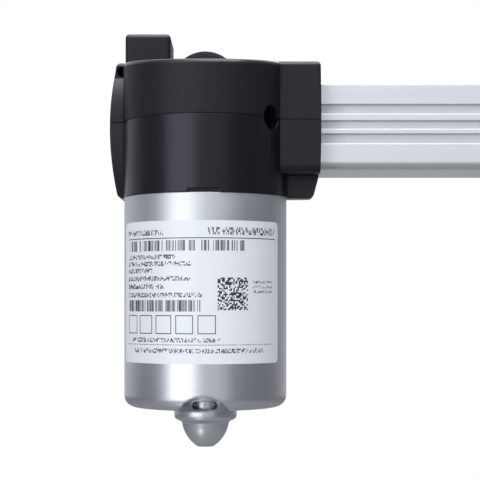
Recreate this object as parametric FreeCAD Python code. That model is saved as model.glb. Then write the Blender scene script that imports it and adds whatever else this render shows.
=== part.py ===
import FreeCAD, Part
import math
import os

V = FreeCAD.Vector

# Frame: the rear pivot pin is at the origin, +X runs along the rail, +Y is the pivot side, +Z is up.
PIN_R = 5.05
FORK_GAP = 12.4
EAR_T = 8.0
EAR_R = 9.5
EAR_BASE = 13.0
GUSSET = 6.0
GUSSET_T = 2.4

# The motor hangs on a vertical axis. The spindle lies along X behind it, one centre distance away.
MOTOR_X = 20.0
MOTOR_Y = -53.0
WORM_PITCH_R = 4.5
WHEEL_PITCH_R = 12.5
SPINDLE_Y = MOTOR_Y + WORM_PITCH_R + WHEEL_PITCH_R

# Gaps: a running fit, a seat, faces side by side, sliding faces, and room at the ends of turning parts.
FIT = 0.02
SEAT_GAP = 0.03
FACE_GAP = 0.1
GLIDE_GAP = 0.3
END_ROOM = 0.3

# Longer than any piece, for cuts that run right through.
REACH = 600.0

# Gear housing, two moulded halves that meet on the plane Z = 0.
NECK_R = 30.3
RIM_Z = -27.7
BODY_TOP = 24.5
TOP_FRONT_Z = 18.9
TOP_SLOPE = math.radians(6.8)
BODY_FRONT = MOTOR_Y - 0.5
BODY_BACK = -9.0
LEFT_X = -15.1
LEFT_DRAWN_IN = 2.7
RIGHT_X = 62.2
RIGHT_DRAWN_IN = 0.35
RIGHT_LEAN_Z = -20.0
RIGHT_LEAN = 2.4
LOBE_FRONT = -66.2
LOBE_BOTTOM = -19.4
LOBE_FILLET = 3.0
BACK_FILLET = 4.0
FOOT_FILLET = 2.2
TOP_FILLET = 1.5
SEAM = 0.3
RECESS_R = 4.4
RECESS_DEPTH = 8.0
RECESS_ANGLE = math.radians(53)
NOTCH_W = 11.6
NOTCH_H = 1.4
NOTCH_DEPTH = 0.8

# The underside rises towards the back, from a slanting line given by its Y at the left and right ends.
UNDERSIDE_LEFT = -33.0
UNDERSIDE_RIGHT = -47.0
UNDERSIDE_SLOPE = 0.2

# On the upper half: the dome over the worm's tip, the hole in the shoulder, and the socket tower.
DOME_R = 12.9
DOME_TOP = 26.7
SHOULDER_HOLE_X = -10.7
SHOULDER_HOLE_Z = 19.2
SHOULDER_HOLE_R = 2.0
SHOULDER_HOLE_DEPTH = 8.0
TOWER_X = (-10.2, 6.8)
TOWER_Y = (-48.0, -23.0)
TOWER_TOP = 34.5
TOWER_WALL = 2.0
TOWER_FILLET = 1.5
SOCKET_FLOOR = 24.0
CONTACT_Y = (-40.5, -30.5)
CONTACT_Z = (18.0, 31.0)
CONTACT_W = 6.3
CONTACT_T = 0.8

# Housing screws: X, Y of each one, all driven from above.
HOUSING_SCREWS = [(56.1, -60.4), (56.1, -13.5), (-2.5, -63.0), (-8.5, -14.5), (20.0, -78.0)]
SCREW_HEAD_R = 3.4
SCREW_HEAD_H = 2.6
SCREW_R = 1.75
SCREW_SEAT = 12.0
SCREW_END = -12.0
SCREW_WELL_GAP = 0.2
SCREW_HOLE_GAP = 0.35

# Rail: an extruded channel with its slot on the pivot side. A front groove has a middle height and a width.
RAIL_START = 48.0
RAIL_END = 470.0
RAIL_W = 36.0
RAIL_H = 34.0
RAIL_WALL = 2.5
RAIL_CORNER = 3.0
RAIL_INNER_CORNER = 1.0
RAIL_FRONT = SPINDLE_Y - RAIL_W / 2
RAIL_BACK = SPINDLE_Y + RAIL_W / 2
SLOT_HALF = 6.0
GROOVES = [(5.4, 3.9), (-0.4, 3.5), (-5.55, 4.0)]
GROOVE_DEPTH = 1.0
GROOVE_CHAMFER = 0.4
PORT_R = 2.7
PORT_HOLE_R = 1.5
PORT_Y = RAIL_FRONT + 4.7
PORT_Z = 12.0
RAIL_PIN_R = 2.0
RAIL_PIN_X = 55.0
RAIL_PIN_Y = SPINDLE_Y + 6.0
RAIL_PIN_L = 7.0
CAP_T = 6.0
CAP_CHAMFER = 1.0
CAP_BOSS_R = 7.8
CAP_SCREW_HEAD_R = 2.8
CAP_SCREW_HEAD_H = 1.8
CAP_SCREW_L = 18.0

# Carriage: it rests part of the way out, and its range is the stroke.
STROKE = 333.0
REST_OFFSET = 60.0
CARRIAGE_X = 160.0
CARRIAGE_L = 60.0
CARRIAGE_H = 22.0
CARRIAGE_FRONT = -40.0
CARRIAGE_NOSE = 6.0
CARRIAGE_CHAMFER = 1.5
CORE_OUT_DEPTH = 1.6
CORE_OUT_RIB = 3.0
CORE_OUT_RIM = 4.0
CORE_OUT_CORNER = 2.0
CORE_OUTS = 3
NUT_L = 48.0
NUT_CHAMFER = 5.6
NUT_BACK_CHAMFER = 2.0
NUT_NECK_END = BODY_BACK - 5.5
NUT_RIDGE_Z = 7.0
NUT_SUNK = 2.0
NUT_SCREW_X = 18.0
NUT_SCREW_R = 2.5
NUT_SCREW_HEAD_R = 4.6
NUT_SCREW_HEAD_H = 2.6
NUT_SCREW_WELL = 3.0
NUT_SCREW_START = SPINDLE_Y + 8.5

# Limit switches: two snap switches on a strip along the rail's inside, met by the ends of the nut.
STRIP_T = 1.6
STRIP_HALF = 6.0
SWITCH_L = 10.0
SWITCH_H = 5.2
SWITCH_HALF = 3.0
BUTTON_R = 1.0
BUTTON_UP = 3.2
BUTTON_OUT = 1.0
SWITCH_GAP = 0.5

# Worm gear: two starts on the worm, twenty-five teeth on the wheel, module 1.
MODULE = 1.0
STARTS = 2
TEETH = 25
WORM_L = 15.0
WORM_STEPS = 30
WHEEL_W = 13.0
WHEEL_STEPS = 4
ADDENDUM = 0.9
DEDENDUM = 1.2
PRESSURE = math.radians(20)
WORM_THREAD_T = 1.25
WHEEL_TOOTH_T = 1.35
WHEEL_ROOM = 2.7
WORM_ROOM_R = 7.5
WORM_ROOM_Z = (-14.0, 13.4)

# Spindle: journals, bearings (start, end, outer radius) and the plain rod that carries the thread.
SPINDLE_R = 6.0
SPINDLE_ROOM = 2.0
SPINDLE_TIP = 1.2
REAR_JOURNAL_R = 4.0
WHEEL_SEAT_R = 5.0
REAR_BEARING = (3.0, 10.0, 11.0)
THRUST_BEARING = (30.0, 38.0, 13.0)
WHEEL_HUB = (10.5, 29.5, 8.0)
DRIVE_PIN_R = 1.5
DRIVE_PIN_X = WHEEL_HUB[0] + 1.9
DRIVE_PIN_HALF = WHEEL_HUB[2] - 0.5
TAIL_JOURNAL_R = 4.0
TAIL_JOURNAL = (462.0, 469.5)
TAIL_SEAT_R = 6.0
TAIL_SEAT_DEPTH = 0.5
CIRCLIP_R = 6.2
CIRCLIP_T = 0.9
CIRCLIP_ROOM = 0.8
CIRCLIP_SUNK = 0.4
CIRCLIP_MOUTH = 3.0

# Motor can: drawn steel, with an arched channel on each side of a bearing boss in its floor.
CAN_R = 30.0
CAN_WALL = 2.0
CAN_FLOOR = -104.5
CAN_CORNER = 4.2
COLLAR_R = 11.6
COLLAR_END = -107.7
COLLAR_ROUND = 2.0
BALL_TOP = (8.7, -110.6)
BALL_SIDE = (6.5, -116.1)
BALL_END = (3.1, -119.4)
BOSS_FOOT = (12.1, -107.3)
BOSS_NECK = (10.4, -103.0)
BOSS_TOP = -98.6
BALL_HOLLOW = (2.8, -117.0)
ARCH_TOP = -99.3
ARCH_HALF = 7.0
ARCH_BELOW = 3.0
ARCH_SHOULDER = 2.4
ARCH_FLARE = 3.4
ARCH_BEND = (1.3, 1.0)
ARCH_SKIN = 1.8
ARCH_SIDE_SKIN = 0.6
WINDOW_HALF = 4.6
WINDOW_R = 1.4
WINDOW_Z = -103.7

# Motor shaft and its bearings: the tip's bush in the dome, the bush in the end plate, the tail's in the boss.
SHAFT_R = 3.0
SHAFT_TOP = 20.0
SHAFT_TAIL = -112.0
TIP_R = 2.5
TIP_Z = 13.0
TIP_BUSH_R = 5.0
TIP_BUSH_Z = 13.5
TIP_ROOM_R = 3.2
TIP_ROOM_TOP = 21.5
FRONT_BUSH_R = 6.0
FRONT_FLANGE_R = 8.0
FRONT_FLANGE_Z = (-30.5, -29.0)
TAIL_BUSH_R = 7.0
TAIL_BUSH_Z = (-109.0, -99.4)
TAIL_BUSH_TAPER = (1.4, 3.0)
TAIL_LEDGE_R = 6.2

# Motor end plate, and the two screws that hold the motor in the housing.
PLATE_GAP = 0.05
PLATE_BOTTOM = -31.7
SPIGOT_TOP = -24.0
SPIGOT_R = 25.8
SPIGOT_GAP = 0.2
MOTOR_SCREW_X = 16.0
MOTOR_SCREW_R = 2.0
MOTOR_SCREW_HEAD_R = 3.5
MOTOR_SCREW_HEAD_H = 3.0
MOTOR_SCREW_SEAT = -17.0
MOTOR_SCREW_END = -31.0
MOTOR_SCREW_WELL_R = 4.0

# Armature, magnets and brushes. A slot has a radius and a half width at its floor and under its mouth.
CORE_Z = (-86.0, -56.0)
CORE_R = 19.5
CORE_SLOTS = 12
SLOT_FLOOR = (9.5, 1.4)
SLOT_ROOF = (16.8, 3.2)
SLOT_MOUTH = 1.0
SLOT_LINER = 0.2
COIL_Z = (-94.0, -49.0)
COIL_FOOT_R = (17.4, 16.4)
COIL_TOP_R = (15.0, 14.0)
COIL_BORE = 3.0
MAGNET_Z = (-95.0, -53.0)
MAGNET_GAP = 0.6
MAGNET_SPAN = 140.0
COMMUTATOR_Z = (-47.5, -36.0)
COMMUTATOR_R = 9.0
SLIT_W = 0.5
SLIT_DEPTH = 0.8
BRUSH_Z = (-45.0, -39.0)
BRUSH_IN = 8.0
BRUSH_OUT = 19.5
BRUSH_HALF = 2.5
BRUSH_GAP = 0.05
CARD_GAP = 0.2
CARD_BOTTOM = -34.5
CARD_BORE_R = 10.5
BRUSH_BOX = (11.0, 25.0)
BRUSH_BOX_HALF = 4.2
BRUSH_BOX_WALL = 1.5
SPRING_END = 23.7
SPRING_HALF = 2.2
SPRING_T = 0.4
SPRING_IN = 1.0

# Rating label: angles from the front of the can, left and right, and its height.
LABEL_ANGLES = (-72.0, 61.0)
LABEL_Z = (-87.8, -37.5)
LABEL_CORNER = 2.0
LABEL_GAP = 0.02
LABEL_T = 0.12


def box(x0, x1, y0, y1, z0, z1):
    return Part.makeBox(x1 - x0, y1 - y0, z1 - z0, V(x0, y0, z0))


def layer(z0, z1):
    """Everything between two heights."""
    return box(-REACH, REACH, -REACH, REACH, z0, z1)


def rod_x(r, x0, x1, y=SPINDLE_Y, z=0.0):
    return Part.makeCylinder(r, x1 - x0, V(x0, y, z), V(1, 0, 0))


def rod_y(r, y0, y1, x, z):
    return Part.makeCylinder(r, y1 - y0, V(x, y0, z), V(0, 1, 0))


def rod_z(r, z0, z1, x=MOTOR_X, y=MOTOR_Y):
    return Part.makeCylinder(r, z1 - z0, V(x, y, z0), V(0, 0, 1))


def fuse(shapes):
    """One clean solid from shapes that touch or overlap."""
    return shapes[0].multiFuse(shapes[1:]).removeSplitter()


def group(shapes):
    return Part.makeCompound(shapes)


def line(a, b):
    return Part.LineSegment(a, b).toShape()


def arc(a, through, b):
    return Part.Arc(a, through, b).toShape()


def polygon(points):
    return Part.Face(Part.makePolygon(points + points[:1]))


def turned_face(face):
    """A solid of revolution about the motor axis, from a face in the XZ plane of that axis."""
    solid = face.revolve(V(0, 0, 0), V(0, 0, 1), 360)
    solid.translate(V(MOTOR_X, MOTOR_Y, 0))
    return solid


def turned(points):
    """A solid of revolution about the motor axis, from (radius, height) points."""
    return turned_face(polygon([V(r, 0, z) for r, z in points]))


def round_motor(shape, angle):
    """A shape made beside the origin, turned by an angle and moved to the motor axis."""
    shape.rotate(V(0, 0, 0), V(0, 0, 1), angle)
    shape.translate(V(MOTOR_X, MOTOR_Y, 0))
    return shape


def twisted(rings):
    """A solid through rings of corners that turn as they go, skinned with flat facets."""
    faces = [polygon(rings[0]), polygon(rings[-1])]
    for low, high in zip(rings, rings[1:]):
        for i in range(len(low)):
            faces.append(polygon([low[i - 1], low[i], high[i - 1]]))
            faces.append(polygon([low[i], high[i], high[i - 1]]))
    shell = Part.makeShell(faces)
    shell.sewShape()
    return Part.makeSolid(shell)


def rounded_section(x, y0, y1, z0, z1, r):
    """A rounded rectangle in a plane across the rail."""
    k = r * (1 - math.sqrt(0.5))
    corners = [(y0, z0, 1, 1), (y1, z0, -1, 1), (y1, z1, -1, -1), (y0, z1, 1, -1)]
    starts = []
    ends = []
    mids = []
    for i, (y, z, sy, sz) in enumerate(corners):
        along_z = V(x, y, z + sz * r)
        along_y = V(x, y + sy * r, z)
        starts.append(along_z if i % 2 == 0 else along_y)
        ends.append(along_y if i % 2 == 0 else along_z)
        mids.append(V(x, y + sy * k, z + sz * k))
    edges = []
    for i in range(4):
        edges.append(arc(starts[i], mids[i], ends[i]))
        edges.append(line(ends[i], starts[(i + 1) % 4]))
    return Part.Face(Part.Wire(edges))


def edges_where(solid, test):
    """The solid's edges whose points all pass a test."""
    return [e for e in solid.Edges if all(test(p) for p in e.discretize(5))]


def body_slab(inset):
    """The housing's outline seen from the front, with its barrelled ends, run from front to back."""
    y = LOBE_FRONT + inset
    left = LEFT_X + inset
    right = RIGHT_X - inset
    left_top = V(left + LEFT_DRAWN_IN, y, BODY_TOP)
    left_rim = V(left + LEFT_DRAWN_IN, y, RIM_Z)
    right_top = V(right - RIGHT_DRAWN_IN, y, BODY_TOP)
    right_foot = V(right - RIGHT_DRAWN_IN, y, RIGHT_LEAN_Z)
    right_rim = V(right - RIGHT_LEAN, y, RIM_Z)
    edges = [
        arc(left_rim, V(left, y, 0), left_top),
        line(left_top, right_top),
        arc(right_top, V(right, y, 0), right_foot),
        line(right_foot, right_rim),
        line(right_rim, left_rim),
    ]
    return Part.Face(Part.Wire(edges)).extrude(V(0, BODY_BACK - LOBE_FRONT - 2 * inset, 0))


def top_height(y):
    """The height of the housing's top, which slopes down to the front."""
    return min(BODY_TOP, TOP_FRONT_Z + (y - MOTOR_Y + NECK_R) * math.tan(TOP_SLOPE))


def top_wedge():
    """Everything above the sloping front of the housing's top."""
    front = MOTOR_Y - NECK_R
    flat_from = front + (BODY_TOP - TOP_FRONT_Z) / math.tan(TOP_SLOPE)
    ahead = 10.0
    high = BODY_TOP + 2 * ahead
    face = polygon([
        V(LEFT_X - ahead, front - ahead, top_height(front - ahead)),
        V(LEFT_X - ahead, flat_from, BODY_TOP),
        V(LEFT_X - ahead, flat_from, high),
        V(LEFT_X - ahead, front - ahead, high),
    ])
    return face.extrude(V(RIGHT_X - LEFT_X + 2 * ahead, 0, 0))


def underside_wedge():
    """The space under the gear case, whose underside rises behind the motor from a slanting line."""
    run = BODY_BACK - UNDERSIDE_RIGHT
    far = UNDERSIDE_LEFT + run
    low = RIM_Z - run
    face = polygon([V(LEFT_X, UNDERSIDE_LEFT, RIM_Z), V(LEFT_X, far, RIM_Z + run * UNDERSIDE_SLOPE),
                    V(LEFT_X, far, low), V(LEFT_X, UNDERSIDE_LEFT, low)])
    return face.extrude(V(RIGHT_X - LEFT_X, UNDERSIDE_RIGHT - UNDERSIDE_LEFT, 0))


def gear_case(inset):
    """The block behind the motor's axis that holds the wheel, the spindle's bearings and the rail's end."""
    front = BODY_FRONT + inset
    back = BODY_BACK - inset
    case = body_slab(inset).common(box(-REACH, REACH, front, back, -REACH, REACH))
    corners = [e for e in edges_where(case, lambda p: abs(p.y - back) < 0.01) if e.BoundBox.ZLength > 1]
    case = case.makeFillet(BACK_FILLET, corners)
    foot = edges_where(case, lambda p: abs(p.z - RIM_Z) < 0.01 and p.x < MOTOR_X - NECK_R)
    case = case.makeFillet(FOOT_FILLET, [e for e in foot if e.BoundBox.YLength > NECK_R / 2])
    return case.cut(underside_wedge())


def rail_lobe(inset):
    """The block beside the motor's neck, over the rail's end."""
    front = LOBE_FRONT + inset
    behind = BODY_FRONT + 2 * LOBE_FILLET
    lobe = body_slab(inset).common(box(MOTOR_X, REACH, front, behind, LOBE_BOTTOM, REACH))
    under = edges_where(lobe, lambda p: abs(p.y - front) < 0.01 and abs(p.z - LOBE_BOTTOM) < 0.01)
    return lobe.makeFillet(LOBE_FILLET, under)


def housing_shell(inset=0.0):
    """Both halves as one outside form: gear case, motor neck and rail lobe. inset draws its walls in."""
    neck = rod_z(NECK_R - inset, RIM_Z, BODY_TOP)
    shell = fuse([gear_case(inset), neck, rail_lobe(inset)]).cut(top_wedge())
    return shell.makeFillet(TOP_FILLET, edges_where(shell, lambda p: p.z > top_height(p.y) - 0.02))


def ear(side):
    """One ear of the rear fork with its two gussets; side is +1 for the upper half, -1 for the lower."""
    inner = FORK_GAP / 2
    outer = inner + EAR_T
    root = BODY_BACK - 1
    plate = polygon([V(-EAR_BASE, root, inner), V(EAR_BASE, root, inner),
                     V(EAR_R, 0, inner), V(-EAR_R, 0, inner)]).extrude(V(0, 0, EAR_T))
    shapes = [plate, rod_z(EAR_R, inner, outer, 0, 0)]
    for x in (-EAR_BASE + 1, EAR_BASE - 1 - GUSSET_T):
        face = polygon([V(x, root, outer), V(x, root, outer + GUSSET + 1), V(x, BODY_BACK + GUSSET, outer)])
        shapes.append(face.extrude(V(GUSSET_T, 0, 0)))
    solid = fuse(shapes).cut(rod_z(PIN_R, inner - 1, outer + 1, 0, 0))
    return solid if side > 0 else solid.mirror(V(0, 0, 0), V(0, 0, 1))


def gear_chambers():
    """The spaces inside the housing for the gears, shafts, bearings and the rail's end."""
    wheel_from = WHEEL_HUB[0] - END_ROOM
    wheel_to = THRUST_BEARING[0] - END_ROOM
    shapes = [
        rod_x(CIRCLIP_R + CIRCLIP_ROOM, SPINDLE_TIP - 2, REAR_BEARING[0]),
        rod_x(REAR_BEARING[2] + SEAT_GAP, REAR_BEARING[0], wheel_from),
        rod_x(WHEEL_PITCH_R + WHEEL_ROOM, wheel_from, wheel_to),
        rod_x(THRUST_BEARING[2] + SEAT_GAP, wheel_to, THRUST_BEARING[1]),
        rod_x(SPINDLE_R + SPINDLE_ROOM, THRUST_BEARING[1], RAIL_START),
        rod_z(WORM_ROOM_R, *WORM_ROOM_Z),
        rod_z(SHAFT_R + 1, SPIGOT_TOP, WORM_ROOM_Z[0]),
        rod_z(SPIGOT_R + SPIGOT_GAP, RIM_Z, SPIGOT_TOP + FACE_GAP),
        rod_z(TIP_BUSH_R, WORM_ROOM_Z[1], SHAFT_TOP),
        rod_z(TIP_ROOM_R, SHAFT_TOP, TIP_ROOM_TOP),
        rail_outline(RAIL_START, FACE_GAP).extrude(V(RIGHT_X - LEFT_X, 0, 0)),
    ]
    for side in (-1, 1):
        x = MOTOR_X + side * MOTOR_SCREW_X
        shapes.append(rod_z(MOTOR_SCREW_WELL_R, MOTOR_SCREW_SEAT, 0, x))
        shapes.append(rod_z(MOTOR_SCREW_R + FACE_GAP, SPIGOT_TOP, MOTOR_SCREW_SEAT, x))
        shapes.append(rail_pin(side))
    return shapes


def parting_recess():
    """The round recess on the parting line, square to the neck's wall."""
    out = V(math.sin(RECESS_ANGLE), -math.cos(RECESS_ANGLE), 0)
    axis = V(MOTOR_X, MOTOR_Y, 0)
    return Part.makeCylinder(RECESS_R, 2 * RECESS_DEPTH, axis + out * (NECK_R - RECESS_DEPTH), out)


def housing_half(side):
    """The outside form on one side of the parting plane, with the chambers taken out."""
    shell = housing_shell()
    if side > 0:
        solid = shell.common(layer(0, REACH))
    else:
        lip = housing_shell(SEAM).common(layer(-SEAM, 0))
        solid = fuse([shell.common(layer(-REACH, -SEAM)), lip])
    return fuse([solid, ear(side)]).cut(gear_chambers() + [parting_recess()])


def upper_housing():
    dome = Part.makeSphere(DOME_R, V(MOTOR_X, MOTOR_Y, DOME_TOP - DOME_R))
    dome = dome.common(layer(TOP_FRONT_Z, REACH)).cut(gear_chambers())
    x0, x1 = TOWER_X
    y0, y1 = TOWER_Y
    w = TOWER_WALL
    tower = box(x0, x1, y0, y1, TOP_FRONT_Z, TOWER_TOP)
    tower = tower.makeFillet(TOWER_FILLET, [e for e in tower.Edges if e.BoundBox.ZMax > TOP_FRONT_Z + 1])
    tools = [box(x0 + w, x1 - w, y0 + w, y1 - w, SOCKET_FLOOR, REACH)] + contact_blades()
    tools.append(rod_y(SHOULDER_HOLE_R, BODY_FRONT - 1, BODY_FRONT + SHOULDER_HOLE_DEPTH,
                       SHOULDER_HOLE_X, SHOULDER_HOLE_Z))
    for x, y in HOUSING_SCREWS:
        tools.append(rod_z(SCREW_HEAD_R + SCREW_WELL_GAP, SCREW_SEAT, REACH, x, y))
        tools.append(rod_z(SCREW_R + SCREW_HOLE_GAP, -1, SCREW_SEAT, x, y))
    return fuse([housing_half(1), dome, tower]).cut(tools)


def lower_housing():
    front = MOTOR_Y - NECK_R
    notch = box(MOTOR_X - NOTCH_W / 2, MOTOR_X + NOTCH_W / 2, front - 1, front + NOTCH_DEPTH,
                RIM_Z - 1, RIM_Z + NOTCH_H)
    holes = [rod_z(SCREW_R, SCREW_END - 1, 1, x, y) for x, y in HOUSING_SCREWS]
    return housing_half(-1).cut([notch] + holes)


def housing_screws():
    screws = []
    for x, y in HOUSING_SCREWS:
        head = rod_z(SCREW_HEAD_R, SCREW_SEAT, SCREW_SEAT + SCREW_HEAD_H, x, y)
        screws.append(fuse([head, rod_z(SCREW_R, SCREW_END, SCREW_SEAT, x, y)]))
    return group(screws)


def contact_blades():
    """Two flat contacts that stand in the socket and reach through its floor."""
    x = (sum(TOWER_X) - CONTACT_W) / 2
    z0, z1 = CONTACT_Z
    return [box(x, x + CONTACT_W, y - CONTACT_T / 2, y + CONTACT_T / 2, z0, z1) for y in CONTACT_Y]


def socket_contacts():
    return group(contact_blades())


def rail_outline(x, grow=0.0):
    """The outside of the rail's section at X, grown for the pocket it sits in."""
    z = RAIL_H / 2 + grow
    return rounded_section(x, RAIL_FRONT - grow, RAIL_BACK + grow, -z, z, RAIL_CORNER)


def port_discs(r):
    """Round faces at the rail's two screw ports."""
    circles = [Part.makeCircle(r, V(RAIL_START, PORT_Y, side * PORT_Z), V(1, 0, 0)) for side in (-1, 1)]
    return [Part.Face(Part.Wire(circle)) for circle in circles]


def groove_face(z, width):
    """The section of a chamfered groove in the rail's front."""
    half = width / 2 - GROOVE_CHAMFER
    floor = RAIL_FRONT + GROOVE_DEPTH
    steps = [(RAIL_FRONT - 1, width / 2), (RAIL_FRONT, width / 2),
             (RAIL_FRONT + GROOVE_CHAMFER, half), (floor, half)]
    lower = [V(RAIL_START, y, z - h) for y, h in steps]
    upper = [V(RAIL_START, y, z + h) for y, h in steps]
    return polygon(lower + upper[::-1])


def rail():
    """Extruded channel: screw ports inside, grooves along the front, the nut's slot along the back."""
    x = RAIL_START
    w = RAIL_WALL
    z = RAIL_H / 2
    inside = rounded_section(x, RAIL_FRONT + w, RAIL_BACK - w, -z + w, z - w, RAIL_INNER_CORNER)
    slot = polygon([V(x, RAIL_BACK - w - 1, -SLOT_HALF), V(x, RAIL_BACK + 1, -SLOT_HALF),
                    V(x, RAIL_BACK + 1, SLOT_HALF), V(x, RAIL_BACK - w - 1, SLOT_HALF)])
    section = rail_outline(x).cut([inside, slot]).multiFuse(port_discs(PORT_R)).removeSplitter()
    section = section.cut(port_discs(PORT_HOLE_R) + [groove_face(*groove) for groove in GROOVES])
    solid = section.Faces[0].extrude(V(RAIL_END - RAIL_START, 0, 0))
    return solid.cut([rail_pin(-1), rail_pin(1)])


def rail_pin(side):
    """One of the two pins that lock the rail in the housing."""
    z0 = RAIL_H / 2 - RAIL_WALL
    pin = rod_z(RAIL_PIN_R, z0, z0 + RAIL_PIN_L, RAIL_PIN_X, RAIL_PIN_Y)
    return pin if side > 0 else pin.mirror(V(0, 0, 0), V(0, 0, 1))


def rail_lock_pins():
    return group([rail_pin(-1), rail_pin(1)])


def rail_end_cap():
    """Moulded cap with a seat for the spindle's tail bush."""
    plate = rail_outline(RAIL_END).extrude(V(CAP_T, 0, 0))
    plate = plate.makeChamfer(CAP_CHAMFER, edges_where(plate, lambda p: p.x > RAIL_END + CAP_T - 0.01))
    boss = rod_x(CAP_BOSS_R, TAIL_JOURNAL[0] + TAIL_SEAT_DEPTH, RAIL_END)
    tools = [rod_x(TAIL_SEAT_R, TAIL_JOURNAL[0], RAIL_END + TAIL_SEAT_DEPTH)]
    for side in (-1, 1):
        tools.append(rod_x(PORT_HOLE_R, RAIL_END - 1, RAIL_END + CAP_T + 1, PORT_Y, side * PORT_Z))
    return fuse([plate, boss]).cut(tools)


def end_cap_screws():
    screws = []
    seat = RAIL_END + CAP_T
    for side in (-1, 1):
        head = rod_x(CAP_SCREW_HEAD_R, seat, seat + CAP_SCREW_HEAD_H, PORT_Y, side * PORT_Z)
        shank = rod_x(PORT_HOLE_R, seat - CAP_SCREW_L, seat, PORT_Y, side * PORT_Z)
        screws.append(fuse([head, shank]))
    return group(screws)


def spindle_tail_bush():
    x0 = TAIL_JOURNAL[0] + TAIL_SEAT_DEPTH
    x1 = RAIL_END
    return rod_x(TAIL_SEAT_R, x0, x1).cut(rod_x(TAIL_JOURNAL_R + FIT, x0, x1))


def bearing_ring(x0, x1, outer_r, bore_r):
    """A sealed ball bearing as one bought-in unit."""
    return rod_x(outer_r, x0, x1).cut(rod_x(bore_r, x0, x1))


def spindle_rear_bearing():
    return bearing_ring(*REAR_BEARING, REAR_JOURNAL_R + FIT)


def spindle_thrust_bearing():
    return bearing_ring(*THRUST_BEARING, WHEEL_SEAT_R + FIT)


def spindle():
    """Turned rod: rear journal, wheel seat, plain length for the thread, tail journal."""
    shoulder = THRUST_BEARING[1] + FACE_GAP
    solid = fuse([
        rod_x(REAR_JOURNAL_R, SPINDLE_TIP, WHEEL_HUB[0]),
        rod_x(WHEEL_SEAT_R, WHEEL_HUB[0], shoulder),
        rod_x(SPINDLE_R, shoulder, TAIL_JOURNAL[0]),
        rod_x(TAIL_JOURNAL_R, TAIL_JOURNAL[0], TAIL_JOURNAL[1]),
    ])
    return solid.cut([drive_pin(), circlip_ring()])


def drive_pin():
    return rod_z(DRIVE_PIN_R, -DRIVE_PIN_HALF, DRIVE_PIN_HALF, DRIVE_PIN_X, SPINDLE_Y)


def wheel_drive_pin():
    return drive_pin()


def circlip_ring():
    """The closed ring that the circlip is cut from, sunk in the spindle's groove."""
    x1 = REAR_BEARING[0] - END_ROOM
    x0 = x1 - CIRCLIP_T
    return rod_x(CIRCLIP_R, x0, x1).cut(rod_x(REAR_JOURNAL_R - CIRCLIP_SUNK, x0, x1))


def spindle_circlip():
    """An open retaining ring in the groove at the spindle's rear end."""
    half = CIRCLIP_MOUTH / 2
    return circlip_ring().cut(box(0, REAR_BEARING[0], SPINDLE_Y - half, SPINDLE_Y + half, half, REACH))


def wheel_ring(x):
    """The toothed outline of the wheel at a distance along X from the worm's axis."""
    twist = MODULE * STARTS / (2 * WORM_PITCH_R) / WHEEL_PITCH_R
    corners = []
    for i in range(TEETH):
        centre = 2 * math.pi * i / TEETH + twist * x
        for side, out in ((-1, -DEDENDUM), (-1, ADDENDUM), (1, ADDENDUM), (1, -DEDENDUM)):
            r = WHEEL_PITCH_R + out
            a = centre + side * (WHEEL_TOOTH_T / 2 - out * math.tan(PRESSURE)) / r
            corners.append(V(MOTOR_X + x, SPINDLE_Y - r * math.cos(a), -r * math.sin(a)))
    return corners


def worm_wheel():
    """Helical wheel on a hub, bored for the spindle and cross-drilled for its pin."""
    rim = twisted([wheel_ring(WHEEL_W * (i / WHEEL_STEPS - 0.5)) for i in range(WHEEL_STEPS + 1)])
    x0, x1, hub_r = WHEEL_HUB
    return fuse([rim, rod_x(hub_r, x0, x1)]).cut([rod_x(WHEEL_SEAT_R, x0, x1), drive_pin()])


def worm_ring(z):
    """The worm's outline at a height, turned so that a gap faces the wheel's axis at Z = 0."""
    per_mm = 2 * math.pi / (math.pi * MODULE * STARTS)
    corners = []
    for i in range(STARTS):
        middle = math.pi / 2 + 2 * math.pi * (i + 0.5) / STARTS + z * per_mm
        for side, out in ((-1, -DEDENDUM), (-1, ADDENDUM), (1, ADDENDUM), (1, -DEDENDUM)):
            r = WORM_PITCH_R + out
            a = middle + side * (WORM_THREAD_T / 2 - out * math.tan(PRESSURE)) * per_mm
            corners.append(V(MOTOR_X + r * math.cos(a), MOTOR_Y + r * math.sin(a), z))
        root = WORM_PITCH_R - DEDENDUM
        gap = middle + math.pi / STARTS
        corners.append(V(MOTOR_X + root * math.cos(gap), MOTOR_Y + root * math.sin(gap), z))
    return corners


def worm():
    """Two-start worm: its outline turned along the motor axis, and bored for the shaft."""
    solid = twisted([worm_ring(WORM_L * (i / WORM_STEPS - 0.5)) for i in range(WORM_STEPS + 1)])
    return solid.cut(rod_z(SHAFT_R, -WORM_L, WORM_L))


def motor_shaft():
    return fuse([rod_z(SHAFT_R, SHAFT_TAIL, TIP_Z), rod_z(TIP_R, TIP_Z, SHAFT_TOP)])


def worm_tip_bush():
    return rod_z(TIP_BUSH_R, TIP_BUSH_Z, SHAFT_TOP).cut(rod_z(TIP_R + FIT, TIP_BUSH_Z, SHAFT_TOP))


def front_bush_blank():
    """The flanged outside of the bush where the shaft leaves the motor."""
    z0, z1 = FRONT_FLANGE_Z
    return [rod_z(FRONT_BUSH_R, z0, SPIGOT_TOP), rod_z(FRONT_FLANGE_R, z0, z1)]


def motor_front_bearing():
    return fuse(front_bush_blank()).cut(rod_z(SHAFT_R + FIT, PLATE_BOTTOM, 0))


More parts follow.
